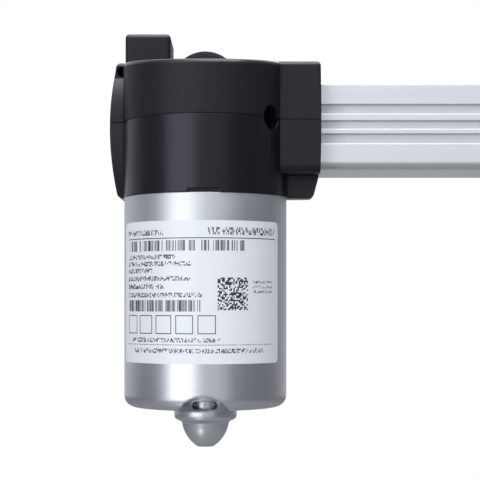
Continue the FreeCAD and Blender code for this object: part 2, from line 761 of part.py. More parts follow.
def motor_end_plate():
    """Cast end plate that closes the can and centres the motor in the housing."""
    disc = rod_z(CAN_R - CAN_WALL - PLATE_GAP, PLATE_BOTTOM, RIM_Z)
    holes = front_bush_blank() + [rod_z(FRONT_FLANGE_R, PLATE_BOTTOM, FRONT_FLANGE_Z[0])]
    for side in (-1, 1):
        holes.append(rod_z(MOTOR_SCREW_R, PLATE_BOTTOM, 0, MOTOR_X + side * MOTOR_SCREW_X))
    return fuse([disc, rod_z(SPIGOT_R, RIM_Z, SPIGOT_TOP)]).cut(holes)


def motor_screws():
    screws = []
    seat = MOTOR_SCREW_SEAT
    for side in (-1, 1):
        x = MOTOR_X + side * MOTOR_SCREW_X
        head = rod_z(MOTOR_SCREW_HEAD_R, seat, seat + MOTOR_SCREW_HEAD_H, x)
        screws.append(fuse([head, rod_z(MOTOR_SCREW_R, MOTOR_SCREW_END, seat, x)]))
    return group(screws)


def can_outside():
    """The can before it is hollowed: a cylinder with a rounded foot, and a boss with a collar and a ball."""
    r = CAN_R
    floor = CAN_FLOOR
    c = CAN_CORNER
    lip = COLLAR_R - COLLAR_ROUND
    slack = 1 - math.sqrt(0.5)
    ball_top, ball_side, ball_end = (V(radius, 0, z) for radius, z in (BALL_TOP, BALL_SIDE, BALL_END))
    collar_foot = V(lip, 0, COLLAR_END - COLLAR_ROUND)
    collar_mid = V(COLLAR_R - COLLAR_ROUND * slack, 0, COLLAR_END - COLLAR_ROUND * (1 - slack))
    edges = [
        line(V(0, 0, RIM_Z), V(r, 0, RIM_Z)),
        line(V(r, 0, RIM_Z), V(r, 0, floor + c)),
        arc(V(r, 0, floor + c), V(r - c * slack, 0, floor + c * slack), V(r - c, 0, floor)),
        line(V(r - c, 0, floor), V(COLLAR_R, 0, floor)),
        line(V(COLLAR_R, 0, floor), V(COLLAR_R, 0, COLLAR_END)),
        arc(V(COLLAR_R, 0, COLLAR_END), collar_mid, collar_foot),
        line(collar_foot, ball_top),
        arc(ball_top, ball_side, ball_end),
        line(ball_end, V(0, 0, ball_end.z)),
        line(V(0, 0, ball_end.z), V(0, 0, RIM_Z)),
    ]
    return turned_face(Part.Face(Part.Wire(edges)))


def arch_bar(side, lift):
    """A bar, to one side in Y, with the bell-shaped section of the channel, lifted for its upper skin."""
    half = ARCH_HALF + lift
    flare = half + ARCH_FLARE
    bend = half + ARCH_BEND[0]
    foot = CAN_FLOOR - ARCH_BELOW
    low = CAN_FLOOR + ARCH_BEND[1]
    shoulder = ARCH_TOP - ARCH_SHOULDER + lift * ARCH_SIDE_SKIN
    points = [V(MOTOR_X + x, MOTOR_Y, z) for x, z in (
        (-flare, foot), (-bend, low), (-half, shoulder), (0, ARCH_TOP + lift), (half, shoulder), (bend, low),
        (flare, foot))]
    edges = [arc(*points[0:3]), arc(*points[2:5]), arc(*points[4:7]), line(points[6], points[0])]
    return Part.Face(Part.Wire(edges)).extrude(V(0, side * (CAN_R + 10), 0))


def tail_window():
    """The oblong hole through the boss, from front to back."""
    reach = WINDOW_HALF - WINDOW_R
    y0 = MOTOR_Y - COLLAR_R - 1
    y1 = MOTOR_Y + COLLAR_R + 1
    middle = box(MOTOR_X - reach, MOTOR_X + reach, y0, y1, WINDOW_Z - WINDOW_R, WINDOW_Z + WINDOW_R)
    ends = [rod_y(WINDOW_R, y0, y1, MOTOR_X + side * reach, WINDOW_Z) for side in (-1, 1)]
    return fuse([middle] + ends)


def motor_can():
    """Deep-drawn can with two pressed channels and a ball-shaped bearing boss in its floor."""
    below = CAN_FLOOR - 2 * ARCH_BELOW
    boss = turned([(0, below), (BOSS_FOOT[0], below), BOSS_FOOT, BOSS_NECK, (BOSS_NECK[0], BOSS_TOP),
                   (0, BOSS_TOP)])
    skins = [arch_bar(side, ARCH_SKIN) for side in (-1, 1)]
    inside = rod_z(CAN_R - CAN_WALL, CAN_FLOOR + CAN_WALL, RIM_Z + 1).cut(skins + [boss])
    channels = [arch_bar(side, 0).cut(boss) for side in (-1, 1)]
    seat = TAIL_BUSH_R + FIT
    ledge = TAIL_BUSH_Z[0]
    top = ARCH_TOP + 2 * ARCH_SKIN
    bore = turned([(0, BALL_HOLLOW[1]), BALL_HOLLOW, (TAIL_LEDGE_R, ledge), (seat, ledge), (seat, top),
                   (0, top)])
    return can_outside().cut([inside] + channels + [bore, tail_window()])


def tail_bushing():
    """Sintered bush for the shaft's tail, held in the can's boss."""
    bore = SHAFT_R + FIT
    z0, z1 = TAIL_BUSH_Z
    r = TAIL_BUSH_R
    drawn_in, length = TAIL_BUSH_TAPER
    return turned([(bore, z0), (r, z0), (r, z1 - length), (r - drawn_in, z1), (bore, z1)])


def field_magnets():
    z0, z1 = MAGNET_Z
    arcs = []
    for middle in (0, 180):
        wedge = Part.makeCylinder(CAN_R - CAN_WALL, z1 - z0, V(0, 0, z0), V(0, 0, 1), MAGNET_SPAN)
        wedge = wedge.cut(Part.makeCylinder(CORE_R + MAGNET_GAP, z1 - z0, V(0, 0, z0)))
        arcs.append(round_motor(wedge, middle - MAGNET_SPAN / 2))
    return group(arcs)


def slot_fills(shrink=0.0):
    """The armature's slots under their mouths, all round the core."""
    z0, z1 = CORE_Z
    floor_r, floor_half = SLOT_FLOOR
    roof_r, roof_half = SLOT_ROOF
    fills = []
    for i in range(CORE_SLOTS):
        face = polygon([V(floor_r, shrink - floor_half, z0), V(roof_r, shrink - roof_half, z0),
                        V(roof_r, roof_half - shrink, z0), V(floor_r, floor_half - shrink, z0)])
        fills.append(round_motor(face.extrude(V(0, 0, z1 - z0)), 360 * i / CORE_SLOTS))
    return fills


def armature_core():
    """A stack of slotted laminations on the shaft."""
    z0, z1 = CORE_Z
    mouths = []
    for i in range(CORE_SLOTS):
        mouth = box(SLOT_ROOF[0] - 1, CORE_R + 1, -SLOT_MOUTH, SLOT_MOUTH, z0, z1)
        mouths.append(round_motor(mouth, 360 * i / CORE_SLOTS))
    return rod_z(CORE_R, z0, z1).cut([rod_z(SHAFT_R, z0, z1)] + slot_fills() + mouths)


def coil_ring(z, crest, dip):
    """The outline of the end turns at a height, with a crest over each slot of the core."""
    corners = []
    for i in range(2 * CORE_SLOTS):
        r = dip if i % 2 else crest
        a = math.pi * i / CORE_SLOTS
        corners.append(V(MOTOR_X + r * math.cos(a), MOTOR_Y + r * math.sin(a), z))
    return corners


def armature_winding():
    """Copper coils: the fill of each slot, and a bundle of end turns at each end of the core."""
    bundles = []
    for foot, top in ((CORE_Z[1], COIL_Z[1]), (CORE_Z[0], COIL_Z[0])):
        bundle = twisted([coil_ring(foot, *COIL_FOOT_R), coil_ring(top, *COIL_TOP_R)])
        bundles.append(bundle.cut(rod_z(SHAFT_R + COIL_BORE, min(foot, top), max(foot, top))))
    return group(bundles + slot_fills(SLOT_LINER))


def commutator():
    z0, z1 = COMMUTATOR_Z
    slits = []
    for i in range(CORE_SLOTS):
        slit = box(COMMUTATOR_R - SLIT_DEPTH, COMMUTATOR_R + 1, -SLIT_W / 2, SLIT_W / 2, z0, z1)
        slits.append(round_motor(slit, 360 * (i + 0.5) / CORE_SLOTS))
    return rod_z(COMMUTATOR_R, z0, z1).cut([rod_z(SHAFT_R, z0, z1)] + slits)


def brush_card():
    """Moulded card with two brush boxes, clipped under the end plate."""
    card = rod_z(CAN_R - CAN_WALL - CARD_GAP, CARD_BOTTOM, PLATE_BOTTOM)
    z0, z1 = BRUSH_Z
    gap = FACE_GAP
    half = BRUSH_HALF + gap
    boxes = []
    tools = [rod_z(CARD_BORE_R, CARD_BOTTOM, PLATE_BOTTOM)]
    for side in (-1, 1):
        x0, x1 = sorted(MOTOR_X + side * r for r in BRUSH_BOX)
        boxes.append(box(x0, x1, MOTOR_Y - BRUSH_BOX_HALF, MOTOR_Y + BRUSH_BOX_HALF,
                         z0 - BRUSH_BOX_WALL, CARD_BOTTOM))
        x0, x1 = sorted(MOTOR_X + side * r for r in (COMMUTATOR_R, SPRING_END + gap))
        tools.append(box(x0, x1, MOTOR_Y - half, MOTOR_Y + half, z0 - gap, z1 + gap))
    return fuse([card] + boxes).cut(tools)


def carbon_brushes():
    z0, z1 = BRUSH_Z
    blocks = []
    for side in (-1, 1):
        x0, x1 = sorted(MOTOR_X + side * r for r in (BRUSH_IN, BRUSH_OUT))
        block = box(x0, x1, MOTOR_Y - BRUSH_HALF, MOTOR_Y + BRUSH_HALF, z0, z1)
        blocks.append(block.cut(rod_z(COMMUTATOR_R + BRUSH_GAP, z0, z1)))
    return group(blocks)


def brush_springs():
    """Folded leaf springs that press the brushes on the commutator."""
    z0, z1 = BRUSH_Z
    t = SPRING_T
    near = BRUSH_OUT
    far = SPRING_END
    w = SPRING_HALF
    section = [(near, -w), (near + t, -w), (far, w - 2 * t), (far, w), (far - t, w), (near, 2 * t - w)]
    springs = []
    for side in (-1, 1):
        face = polygon([V(MOTOR_X + side * x, MOTOR_Y + y, z0 + SPRING_IN) for x, y in section])
        springs.append(face.extrude(V(0, 0, z1 - z0 - 2 * SPRING_IN)))
    return group(springs)


def label_corner(angle, side, z, up):
    """What is cut off the label at one corner to round it; side and up point into the label."""
    r = LABEL_CORNER
    y0, y1 = sorted((-side, side * r))
    low, high = sorted((z - up, z + up * r))
    tool = box(CAN_R - 1, CAN_R + 1, y0, y1, low, high)
    tool = tool.cut(rod_x(r, CAN_R - 2, CAN_R + 2, side * r, z + up * r))
    tool.rotate(V(0, 0, 0), V(0, 0, 1), angle)
    return tool


def rating_label():
    a0, a1 = LABEL_ANGLES
    z0, z1 = LABEL_Z
    inner = CAN_R + LABEL_GAP
    sheet = Part.makeCylinder(inner + LABEL_T, z1 - z0, V(0, 0, z0), V(0, 0, 1), a1 - a0)
    sheet = sheet.cut(Part.makeCylinder(inner, z1 - z0, V(0, 0, z0)))
    sheet = sheet.cut([label_corner(angle, side, z, up) for angle, side in ((0, 1), (a1 - a0, -1))
                       for z, up in ((z0, 1), (z1, -1))])
    return round_motor(sheet, a0 - 90)


def limit_switch_strip():
    y0 = RAIL_FRONT + RAIL_WALL
    return box(RAIL_START + 1, RAIL_END, y0, y0 + STRIP_T, -STRIP_HALF, STRIP_HALF)


def limit_switch(nut_end, side):
    """A snap switch that the nut's end meets at the end of travel; side is the way to it along X."""
    y0 = RAIL_FRONT + RAIL_WALL + STRIP_T
    tip = nut_end + side * SWITCH_GAP
    near = tip + side * BUTTON_OUT
    far = near + side * SWITCH_L
    body = box(min(near, far), max(near, far), y0, y0 + SWITCH_H, -SWITCH_HALF, SWITCH_HALF)
    return fuse([body, rod_x(BUTTON_R, min(tip, near), max(tip, near), y0 + BUTTON_UP, 0)])


def retracted_limit_switch():
    return limit_switch(CARRIAGE_X - NUT_L / 2 - REST_OFFSET, -1)


def extended_limit_switch():
    return limit_switch(CARRIAGE_X + NUT_L / 2 + STROKE - REST_OFFSET, 1)


def drive_nut():
    """Moulded nut that fills the rail's inside and reaches out through the slot."""
    x0 = CARRIAGE_X - NUT_L / 2
    y0 = RAIL_FRONT + RAIL_WALL + GLIDE_GAP
    y1 = RAIL_BACK - RAIL_WALL - GLIDE_GAP
    z1 = RAIL_H / 2 - RAIL_WALL - GLIDE_GAP
    c = NUT_CHAMFER
    back = NUT_BACK_CHAMFER
    neck = SLOT_HALF - GLIDE_GAP
    side = [(y0 + NUT_SUNK, NUT_RIDGE_Z), (y0, NUT_RIDGE_Z), (y0, z1 - c), (y0 + c, z1), (y1 - back, z1),
            (y1, z1 - back), (y1, neck), (NUT_NECK_END, neck)]
    face = polygon([V(x0, y, z) for y, z in side] + [V(x0, y, -z) for y, z in side[::-1]])
    solid = face.extrude(V(NUT_L, 0, 0))
    return solid.cut([rod_x(SPINDLE_R + GLIDE_GAP, x0, x0 + NUT_L)] + nut_screw_shanks())


def nut_screw_shanks():
    end = BODY_BACK - NUT_SCREW_WELL
    return [rod_y(NUT_SCREW_R, NUT_SCREW_START, end, CARRIAGE_X + side * NUT_SCREW_X, 0) for side in (-1, 1)]


def carriage_block():
    """The saddle's outside: rounded at the front corners, and chamfered round its two faces."""
    x0 = CARRIAGE_X - CARRIAGE_L / 2
    block = box(x0, x0 + CARRIAGE_L, CARRIAGE_FRONT, BODY_BACK, -CARRIAGE_H, CARRIAGE_H)
    nose = edges_where(block, lambda p: p.y < CARRIAGE_FRONT + 0.01)
    block = block.makeFillet(CARRIAGE_NOSE, [e for e in nose if e.BoundBox.ZLength > CARRIAGE_H])
    return block.makeChamfer(CARRIAGE_CHAMFER, edges_where(block, lambda p: abs(p.z) > CARRIAGE_H - 0.01))


def core_outs():
    """Shallow pockets in the saddle's two faces, with ribs between them."""
    pitch = (CARRIAGE_L - 2 * CORE_OUT_RIM + CORE_OUT_RIB) / CORE_OUTS
    y0 = CARRIAGE_FRONT + CORE_OUT_RIM
    y1 = BODY_BACK - CORE_OUT_RIM
    pockets = []
    for i in range(CORE_OUTS):
        x0 = CARRIAGE_X - CARRIAGE_L / 2 + CORE_OUT_RIM + i * pitch
        for z0 in (-CARRIAGE_H - 1, CARRIAGE_H - CORE_OUT_DEPTH):
            pocket = box(x0, x0 + pitch - CORE_OUT_RIB, y0, y1, z0, z0 + CORE_OUT_DEPTH + 1)
            upright = [e for e in pocket.Edges if e.BoundBox.ZLength > CORE_OUT_DEPTH]
            pockets.append(pocket.makeFillet(CORE_OUT_CORNER, upright))
    return pockets


def carriage():
    """Moulded saddle that rides round the back of the rail and carries the front fork."""
    inner_h = RAIL_H / 2 + GLIDE_GAP
    back = RAIL_BACK + GLIDE_GAP
    neck = SLOT_HALF - GLIDE_GAP
    half = NUT_L / 2
    tools = [
        box(CARRIAGE_X - CARRIAGE_L, CARRIAGE_X + CARRIAGE_L, CARRIAGE_FRONT - 1, back, -inner_h, inner_h),
        box(CARRIAGE_X - half, CARRIAGE_X + half, back - 1, NUT_NECK_END, -neck, neck),
    ]
    for side in (-1, 1):
        x = CARRIAGE_X + side * NUT_SCREW_X
        tools.append(rod_y(NUT_SCREW_R + FACE_GAP, NUT_NECK_END - 1, BODY_BACK, x, 0))
        tools.append(rod_y(NUT_SCREW_HEAD_R, BODY_BACK - NUT_SCREW_WELL, BODY_BACK, x, 0))
    ears = [ear(-1), ear(1)]
    for one in ears:
        one.translate(V(CARRIAGE_X, 0, 0))
    return fuse([carriage_block().cut(tools + core_outs())] + ears)


def carriage_screws():
    screws = []
    seat = BODY_BACK - NUT_SCREW_WELL
    for side, shank in zip((-1, 1), nut_screw_shanks()):
        x = CARRIAGE_X + side * NUT_SCREW_X
        head = rod_y(NUT_SCREW_HEAD_R - SCREW_WELL_GAP, seat, seat + NUT_SCREW_HEAD_H, x, 0)
        screws.append(fuse([head, shank]))
    return group(screws)


NODES = [
    upper_housing, lower_housing, housing_screws, socket_contacts,
    motor_can, motor_end_plate, motor_screws, motor_front_bearing, tail_bushing, field_magnets,
    brush_card, carbon_brushes, brush_springs, rating_label, worm_tip_bush,
    motor_shaft, worm, armature_core, armature_winding, commutator,
    spindle_rear_bearing, spindle_thrust_bearing, spindle_tail_bush,
    spindle, worm_wheel, wheel_drive_pin, spindle_circlip,
    rail, rail_lock_pins, rail_end_cap, end_cap_screws,
    limit_switch_strip, retracted_limit_switch, extended_limit_switch,
    drive_nut, carriage, carriage_screws,
]

os.makedirs("parts", exist_ok=True)
for make in NODES:
    make().exportStep(f"parts/{make.__name__}.step")
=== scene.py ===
import math

import bmesh
import bpy
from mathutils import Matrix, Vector


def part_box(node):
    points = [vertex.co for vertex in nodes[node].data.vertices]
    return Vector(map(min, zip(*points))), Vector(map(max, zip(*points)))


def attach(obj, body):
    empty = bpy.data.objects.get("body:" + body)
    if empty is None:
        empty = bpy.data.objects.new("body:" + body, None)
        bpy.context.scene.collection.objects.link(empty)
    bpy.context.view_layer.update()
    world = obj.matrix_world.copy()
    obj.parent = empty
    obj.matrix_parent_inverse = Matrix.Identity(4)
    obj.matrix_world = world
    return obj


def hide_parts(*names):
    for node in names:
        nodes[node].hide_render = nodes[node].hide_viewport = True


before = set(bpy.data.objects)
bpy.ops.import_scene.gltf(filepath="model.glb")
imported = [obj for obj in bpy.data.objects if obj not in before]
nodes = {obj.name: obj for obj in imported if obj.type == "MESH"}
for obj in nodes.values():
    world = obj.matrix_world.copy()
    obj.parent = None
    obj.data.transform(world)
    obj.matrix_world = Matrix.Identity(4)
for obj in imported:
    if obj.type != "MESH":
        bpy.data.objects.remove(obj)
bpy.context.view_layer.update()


# Gear housing. Two black glass-filled nylon mouldings, closed on a level parting line round the gears.
# Their tools are spark eroded, the upper half's more coarsely, and outside edges come out slightly round.
# The rolled rim of the top is burnished, the dome over the worm's tip matt, and the left shoulder crowned.
class Wire:
    """A socket in a node tree. Arithmetic written with it becomes Math nodes."""

    def __init__(self, tree, socket=None):
        self.tree = tree
        self.socket = socket

    def make(self, kind, settings, sockets, out=0):
        """Adds a node with its settings and its sockets' values or links, and gives one of its outputs."""
        node = self.tree.nodes.new(kind)
        for name, value in settings.items():
            setattr(node, name, value)
        for name, value in sockets.items():
            if isinstance(value, Wire):
                self.tree.links.new(value.socket, node.inputs[name])
            else:
                node.inputs[name].default_value = value
        return Wire(self.tree, node.outputs[out])

    def calc(self, operation, a, b=0.0):
        """The result of a Math node."""
        return self.make("ShaderNodeMath", {"operation": operation}, {0: a, 1: b})

    def __add__(self, other):
        return self.calc("ADD", self, other)

    def __radd__(self, other):
        return self.calc("ADD", other, self)

    def __sub__(self, other):
        return self.calc("SUBTRACT", self, other)

    def __rsub__(self, other):
        return self.calc("SUBTRACT", other, self)

    def __mul__(self, other):
        return self.calc("MULTIPLY", self, other)

    def __rmul__(self, other):
        return self.calc("MULTIPLY", other, self)

    def __truediv__(self, other):
        return self.calc("DIVIDE", self, other)

    def __rtruediv__(self, other):
        return self.calc("DIVIDE", other, self)

    def __mod__(self, other):
        return self.calc("FLOORED_MODULO", self, other)

    def __rmod__(self, other):
        return self.calc("FLOORED_MODULO", other, self)

    def __gt__(self, other):
        return self.calc("GREATER_THAN", self, other)

    def __lt__(self, other):
        return self.calc("LESS_THAN", self, other)


def new_finish(name, metallic):
    """A material, its shader's sockets, and the piece's own coordinates in metres."""
    finish = bpy.data.materials.new(name)
    finish.use_nodes = True
    shader = finish.node_tree.nodes["Principled BSDF"].inputs
    shader["Metallic"].default_value = metallic
    place = Wire(finish.node_tree).make("ShaderNodeTexCoord", {}, {}, "Object")
    return finish, shader, place


def feed(shader, **wires):
    """Links wires to the shader's sockets, with _ for a blank in a socket's name."""
    for name, wire in wires.items():
        wire.tree.links.new(wire.socket, shader[name.replace("_", " ")])


def noise(place, size, detail, stretch=(1, 1, 1)):
    """Noise from 0 to 1 whose blotches are about size metres across, longer where stretch is large."""
    squeezed = place.make("ShaderNodeMapping", {}, {"Vector": place, "Scale": tuple(1 / s for s in stretch)})
    return place.make("ShaderNodeTexNoise", {}, {"Vector": squeezed, "Scale": 1 / size, "Detail": detail})


def tint(factor, low, high):
    """A colour between two, given as red, green and blue or as wires, by a factor from 0 to 1."""
    low, high = (end if isinstance(end, Wire) else (*end, 1) for end in (low, high))
    return factor.make("ShaderNodeMix", {"data_type": "RGBA"}, {0: factor, 6: low, 7: high}, 2)


def relief(height, depth, strength, edge):
    """A normal with a relief of depth metres on edges rounded to a radius of edge metres."""
    rounded = height.make("ShaderNodeBevel", {"samples": 6}, {"Radius": edge})
    return height.make("ShaderNodeBump", {}, {"Strength": strength, "Distance": depth, "Height": height,
                                              "Normal": rounded})


def mould(shader, place, dark, light, roughness, edge):
    """Spark grain, faint flow marks, and edges rounded by the tool."""
    grain = noise(place, size=0.00035, detail=2.0)
    flow = noise(place, size=0.018, detail=3.0)
    feed(shader, Base_Color=tint(flow * 0.7 + grain * 0.3, dark, light),
         Roughness=flow * 0.10 + grain * 0.08 + roughness,
         Normal=relief(grain, depth=0.00003, strength=0.22, edge=edge))


def across(place, axis):
    """One coordinate of a place or direction."""
    return place.make("ShaderNodeSeparateXYZ", {}, {"Vector": place}, axis)


def graded(value, start, end, low, high):
    """A value that goes from low to high while another goes from start to end."""
    return value.make("ShaderNodeMapRange", {}, {"Value": value, 1: start, 2: end, 3: low, 4: high})


def upward(place):
    """How far a surface faces up, from -1 to 1."""
    return across(place.make("ShaderNodeNewGeometry", {}, {}, "Normal"), "Z")


def dress(finish, *names):
    """Gives CAD nodes their finish."""
    for name in names:
        nodes[name].data.materials.clear()
        nodes[name].data.materials.append(finish)


def new_piece(name, mesh, body, replaced=None, sharp=35):
    """An object for a finished mesh, riding on a body, which hides the CAD node it replaces, if any."""
    piece = bpy.data.objects.new(name, mesh)
    bpy.context.scene.collection.objects.link(piece)
    mesh.shade_smooth()
    mesh.set_sharp_from_angle(angle=math.radians(sharp))
    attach(piece, body)
    if replaced:
        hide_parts(replaced)


def merged_copy(name):
    """A copy of a CAD node's mesh to work on, with its loose triangles joined."""
    work = bmesh.new()
    work.from_mesh(nodes[name].data)
    bmesh.ops.remove_doubles(work, verts=work.verts, dist=1e-6)
    return work


def cut(work, place, facing, drop=False):
    """Cuts a work mesh along a plane, and drops what lies on the side that the plane faces, if asked."""
    bmesh.ops.bisect_plane(work, geom=work.verts[:] + work.edges[:] + work.faces[:], dist=0.000002,
                           plane_co=place, plane_no=facing, clear_outer=drop)


def finished(work, name):
    """The plain mesh of a work mesh, which is then given up."""
    mesh = bpy.data.meshes.new(name)
    work.to_mesh(mesh)
    work.free()
    return mesh


shoulder_y = -0.0535
flat_within = 0.0001
facing_front = -0.999
neck_left = -0.0100
neck_overlap = 0.0003
crown_foot = -0.0277
crown_level = -0.0023
crown_top = 0.0168
crown_rise = 0.0036
crown_root = 0.0003
crown_step = 0.0012


def crown_height(z):
    """How far the shoulder's crown stands out at a height."""
    end = crown_top if z > crown_level else crown_foot
    return crown_rise * (1 - ((z - crown_level) / (end - crown_level)) ** 2)


def shoulder_crown(half):
    """The crowned front of the left shoulder, raised from a half's flat face beside the neck."""
    work = merged_copy(half)
    work.normal_update()
    rest = []
    for face in work.faces:
        centre = face.calc_center_median()
        in_plane = face.normal.y < facing_front and abs(centre.y - shoulder_y) < flat_within
        if not in_plane or centre.x > neck_left:
            rest.append(face)
    bmesh.ops.delete(work, geom=rest, context="FACES")
    cut(work, (0, 0, crown_top), (0, 0, 1), drop=True)
    for i in range(1, math.ceil((crown_top - crown_foot) / crown_step)):
        cut(work, (0, 0, crown_foot + i * crown_step), (0, 0, 1))
    for vert in work.verts:
        if vert.co.x > neck_left - 2 * neck_overlap:
            vert.co.x += neck_overlap
    raised = bmesh.ops.extrude_face_region(work, geom=work.faces[:])["geom"]
    front = {item for item in raised if isinstance(item, bmesh.types.BMVert)}
    for vert in work.verts:
        vert.co.y += -crown_height(vert.co.z) if vert in front else crown_root
    bmesh.ops.recalc_face_normals(work, faces=work.faces)
    # Extruding leaves points and faces in no fixed order, so they are sorted by place.
    points = sorted(work.verts, key=lambda vert: tuple(vert.co))
    faces = sorted(work.faces, key=lambda face: tuple(face.calc_center_median()))
    work.verts.sort(key=points.index)
    work.faces.sort(key=faces.index)
    return finished(work, half + "_crown")


tip_low, tip_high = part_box("worm_tip_bush")
dome_centre = ((tip_low.x + tip_high.x) / 2, (tip_low.y + tip_high.y) / 2, tip_high.z)
dome_r = 0.0105
dome_fade = 0.001
dome_roughness = 0.85
edge_r = 0.0006
rim_r = 0.0020
rim_foot = 0.010
rim_top = 0.014
seam_r = 0.0001
seam_depth = 0.0012
for half, roughness, sheen in (("upper_housing", 0.46, 0.37), ("lower_housing", 0.22, 0.40)):
    black, black_shader, black_place = new_finish(half + "_black", 0.0)
    level = across(black_place, "Z")
    from_tip = black_place.make("ShaderNodeVectorMath", {"operation": "DISTANCE"},
                                {0: black_place, 1: dome_centre}, "Value")
    at_seam = (level > -seam_depth) * (level < 0.0)
    rounding = graded(level, start=rim_foot, end=rim_top, low=edge_r, high=rim_r)
    matt = graded(from_tip, start=dome_r - dome_fade, end=dome_r, low=dome_roughness, high=roughness)
    mould(black_shader, black_place, dark=(0.0030, 0.0029, 0.0042), light=(0.0062, 0.0060, 0.0084),
          roughness=matt, edge=rounding - at_seam * (edge_r - seam_r))
    lean = upward(black_place)
    rolled = (lean > 0.05) * lean * (1.0 - lean) * 4.0
    burnish = graded(level, start=0.0, end=rim_top, low=0.0, high=1.0)
    feed(black_shader, Coat_Weight=rolled * burnish * (from_tip > dome_r))
    black_shader["Coat Roughness"].default_value = 0.20
    black_shader["Specular IOR Level"].default_value = sheen
    black_shader["Specular Tint"].default_value = (0.88, 0.86, 1.0, 1)
    dress(black, half)
    crown_mesh = shoulder_crown(half)
    crown_mesh.materials.append(black)
    new_piece(half + "_crown", crown_mesh, "drive_frame")


# Housing screws. Black thread-forming steel screws with six-lobe pan heads.
# They go down the wells of the upper half and cut their own thread in the lower one.
def solids_of(name):
    """The low and high corners of each separate solid in a CAD node."""
    work = merged_copy(name)
    left = set(work.verts)
    found = []
    while left:
        reach = [left.pop()]
        solid = []
        while reach:
            vert = reach.pop()
            solid.append(vert.co.copy())
            near = {edge.other_vert(vert) for edge in vert.link_edges} & left
            left -= near
            reach.extend(near)
        found.append((Vector(min(p[i] for p in solid) for i in range(3)),
                      Vector(max(p[i] for p in solid) for i in range(3))))
    work.free()
    return sorted(found, key=lambda corners: tuple(corners[0]))


def lofted(name, rings):
    """A closed mesh skinned over rings of the same number of points, from its top to its tip."""
    work = bmesh.new()
    loops = [[work.verts.new(point) for point in ring] for ring in rings]
    for upper, lower in zip(loops, loops[1:]):
        for i in range(len(upper)):
            work.faces.new((upper[i - 1], upper[i], lower[i], lower[i - 1]))
    work.faces.new(loops[0])
    work.faces.new(loops[-1])
    bmesh.ops.recalc_face_normals(work, faces=work.faces)
    return finished(work, name)


def pan_screw(head_r, head_h, shank_r, shank_l):
    """A screw whose head stands on Z = 0, with a six-lobe recess in its top."""
    sides = 48

    def ring(r, z, lobes=0.0):
        turns = [math.tau * i / sides for i in range(sides)]
        reach = [r * (1 + lobes * math.cos(6 * turn)) for turn in turns]
        return [(s * math.cos(turn), s * math.sin(turn), z) for s, turn in zip(reach, turns)]

    recess = 0.46 * head_r
    return lofted("pan_screw", [
        ring(0.30 * recess, 0.34 * head_h), ring(0.90 * recess, 0.38 * head_h, lobes=0.16),
        ring(recess, 0.95 * head_h, lobes=0.16), ring(1.05 * recess, head_h, lobes=0.14),
        ring(0.72 * head_r, head_h), ring(0.90 * head_r, 0.95 * head_h), ring(0.98 * head_r, 0.80 * head_h),
        ring(head_r, 0.62 * head_h), ring(head_r, 0.05 * head_h), ring(0.98 * head_r, 0.0),
        ring(shank_r, 0.0), ring(shank_r, shank_r - shank_l), ring(0.5 * shank_r, -shank_l),
    ])


def new_tree(name, inputs):
    """A Geometry Nodes tree with named inputs, and their wires by name."""
    tree = bpy.data.node_groups.new(name, "GeometryNodeTree")
    tree.interface.new_socket("Geometry", in_out="OUTPUT", socket_type="NodeSocketGeometry")
    for title, kind in inputs.items():
        tree.interface.new_socket(title, in_out="INPUT", socket_type="NodeSocket" + kind)
    entry = tree.nodes.new("NodeGroupInput")
    return tree, {title: Wire(tree, entry.outputs[title]) for title in inputs}


def close_tree(pieces, finish):
    """Ends a tree with real geometry in one finish."""
    real = pieces.make("GeometryNodeRealizeInstances", {}, {"Geometry": pieces})
    done = pieces.make("GeometryNodeSetMaterial", {}, {"Geometry": real, "Material": finish})
    leave = pieces.tree.nodes.new("NodeGroupOutput")
    pieces.tree.links.new(done.socket, leave.inputs["Geometry"])


def grown(tree, name, start, values):
    """The plain mesh that a tree makes from a starting mesh and its inputs' values."""
    carrier = bpy.data.objects.new(name, start)
    bpy.context.scene.collection.objects.link(carrier)
    growth = carrier.modifiers.new(tree.name, "NODES")
    growth.node_group = tree
    for entry in tree.interface.items_tree:
        if entry.name in values:
            growth[entry.identifier] = values[entry.name]
    result = bpy.data.meshes.new_from_object(carrier.evaluated_get(bpy.context.evaluated_depsgraph_get()))
    bpy.data.objects.remove(carrier)
    result.name = name
    return result


screw_tree, screw_in = new_tree("place_screws", {
    "Places": "Geometry", "Screw": "Object", "Head direction": "Vector", "Seed": "Int",
    "Finish": "Material"})
screw_shape = screw_in["Screw"].make("GeometryNodeObjectInfo", {}, {"Object": screw_in["Screw"]}, "Geometry")
upright = screw_shape.make("FunctionNodeAlignRotationToVector", {"axis": "Z"},
                           {"Vector": screw_in["Head direction"]})
driven = screw_shape.make("FunctionNodeRandomValue", {"data_type": "FLOAT"},
                          {2: 0.0, 3: math.tau, "Seed": screw_in["Seed"]}, 1)
twist = screw_shape.make("FunctionNodeAxisAngleToRotation", {}, {"Axis": (0, 0, 1), "Angle": driven})
set_in = screw_shape.make("FunctionNodeRotateRotation", {"rotation_space": "LOCAL"},
                          {"Rotation": upright, "Rotate By": twist})
close_tree(screw_shape.make("GeometryNodeInstanceOnPoints", {},
                            {"Points": screw_in["Places"], "Instance": screw_shape, "Rotation": set_in}),
           screw_in["Finish"])


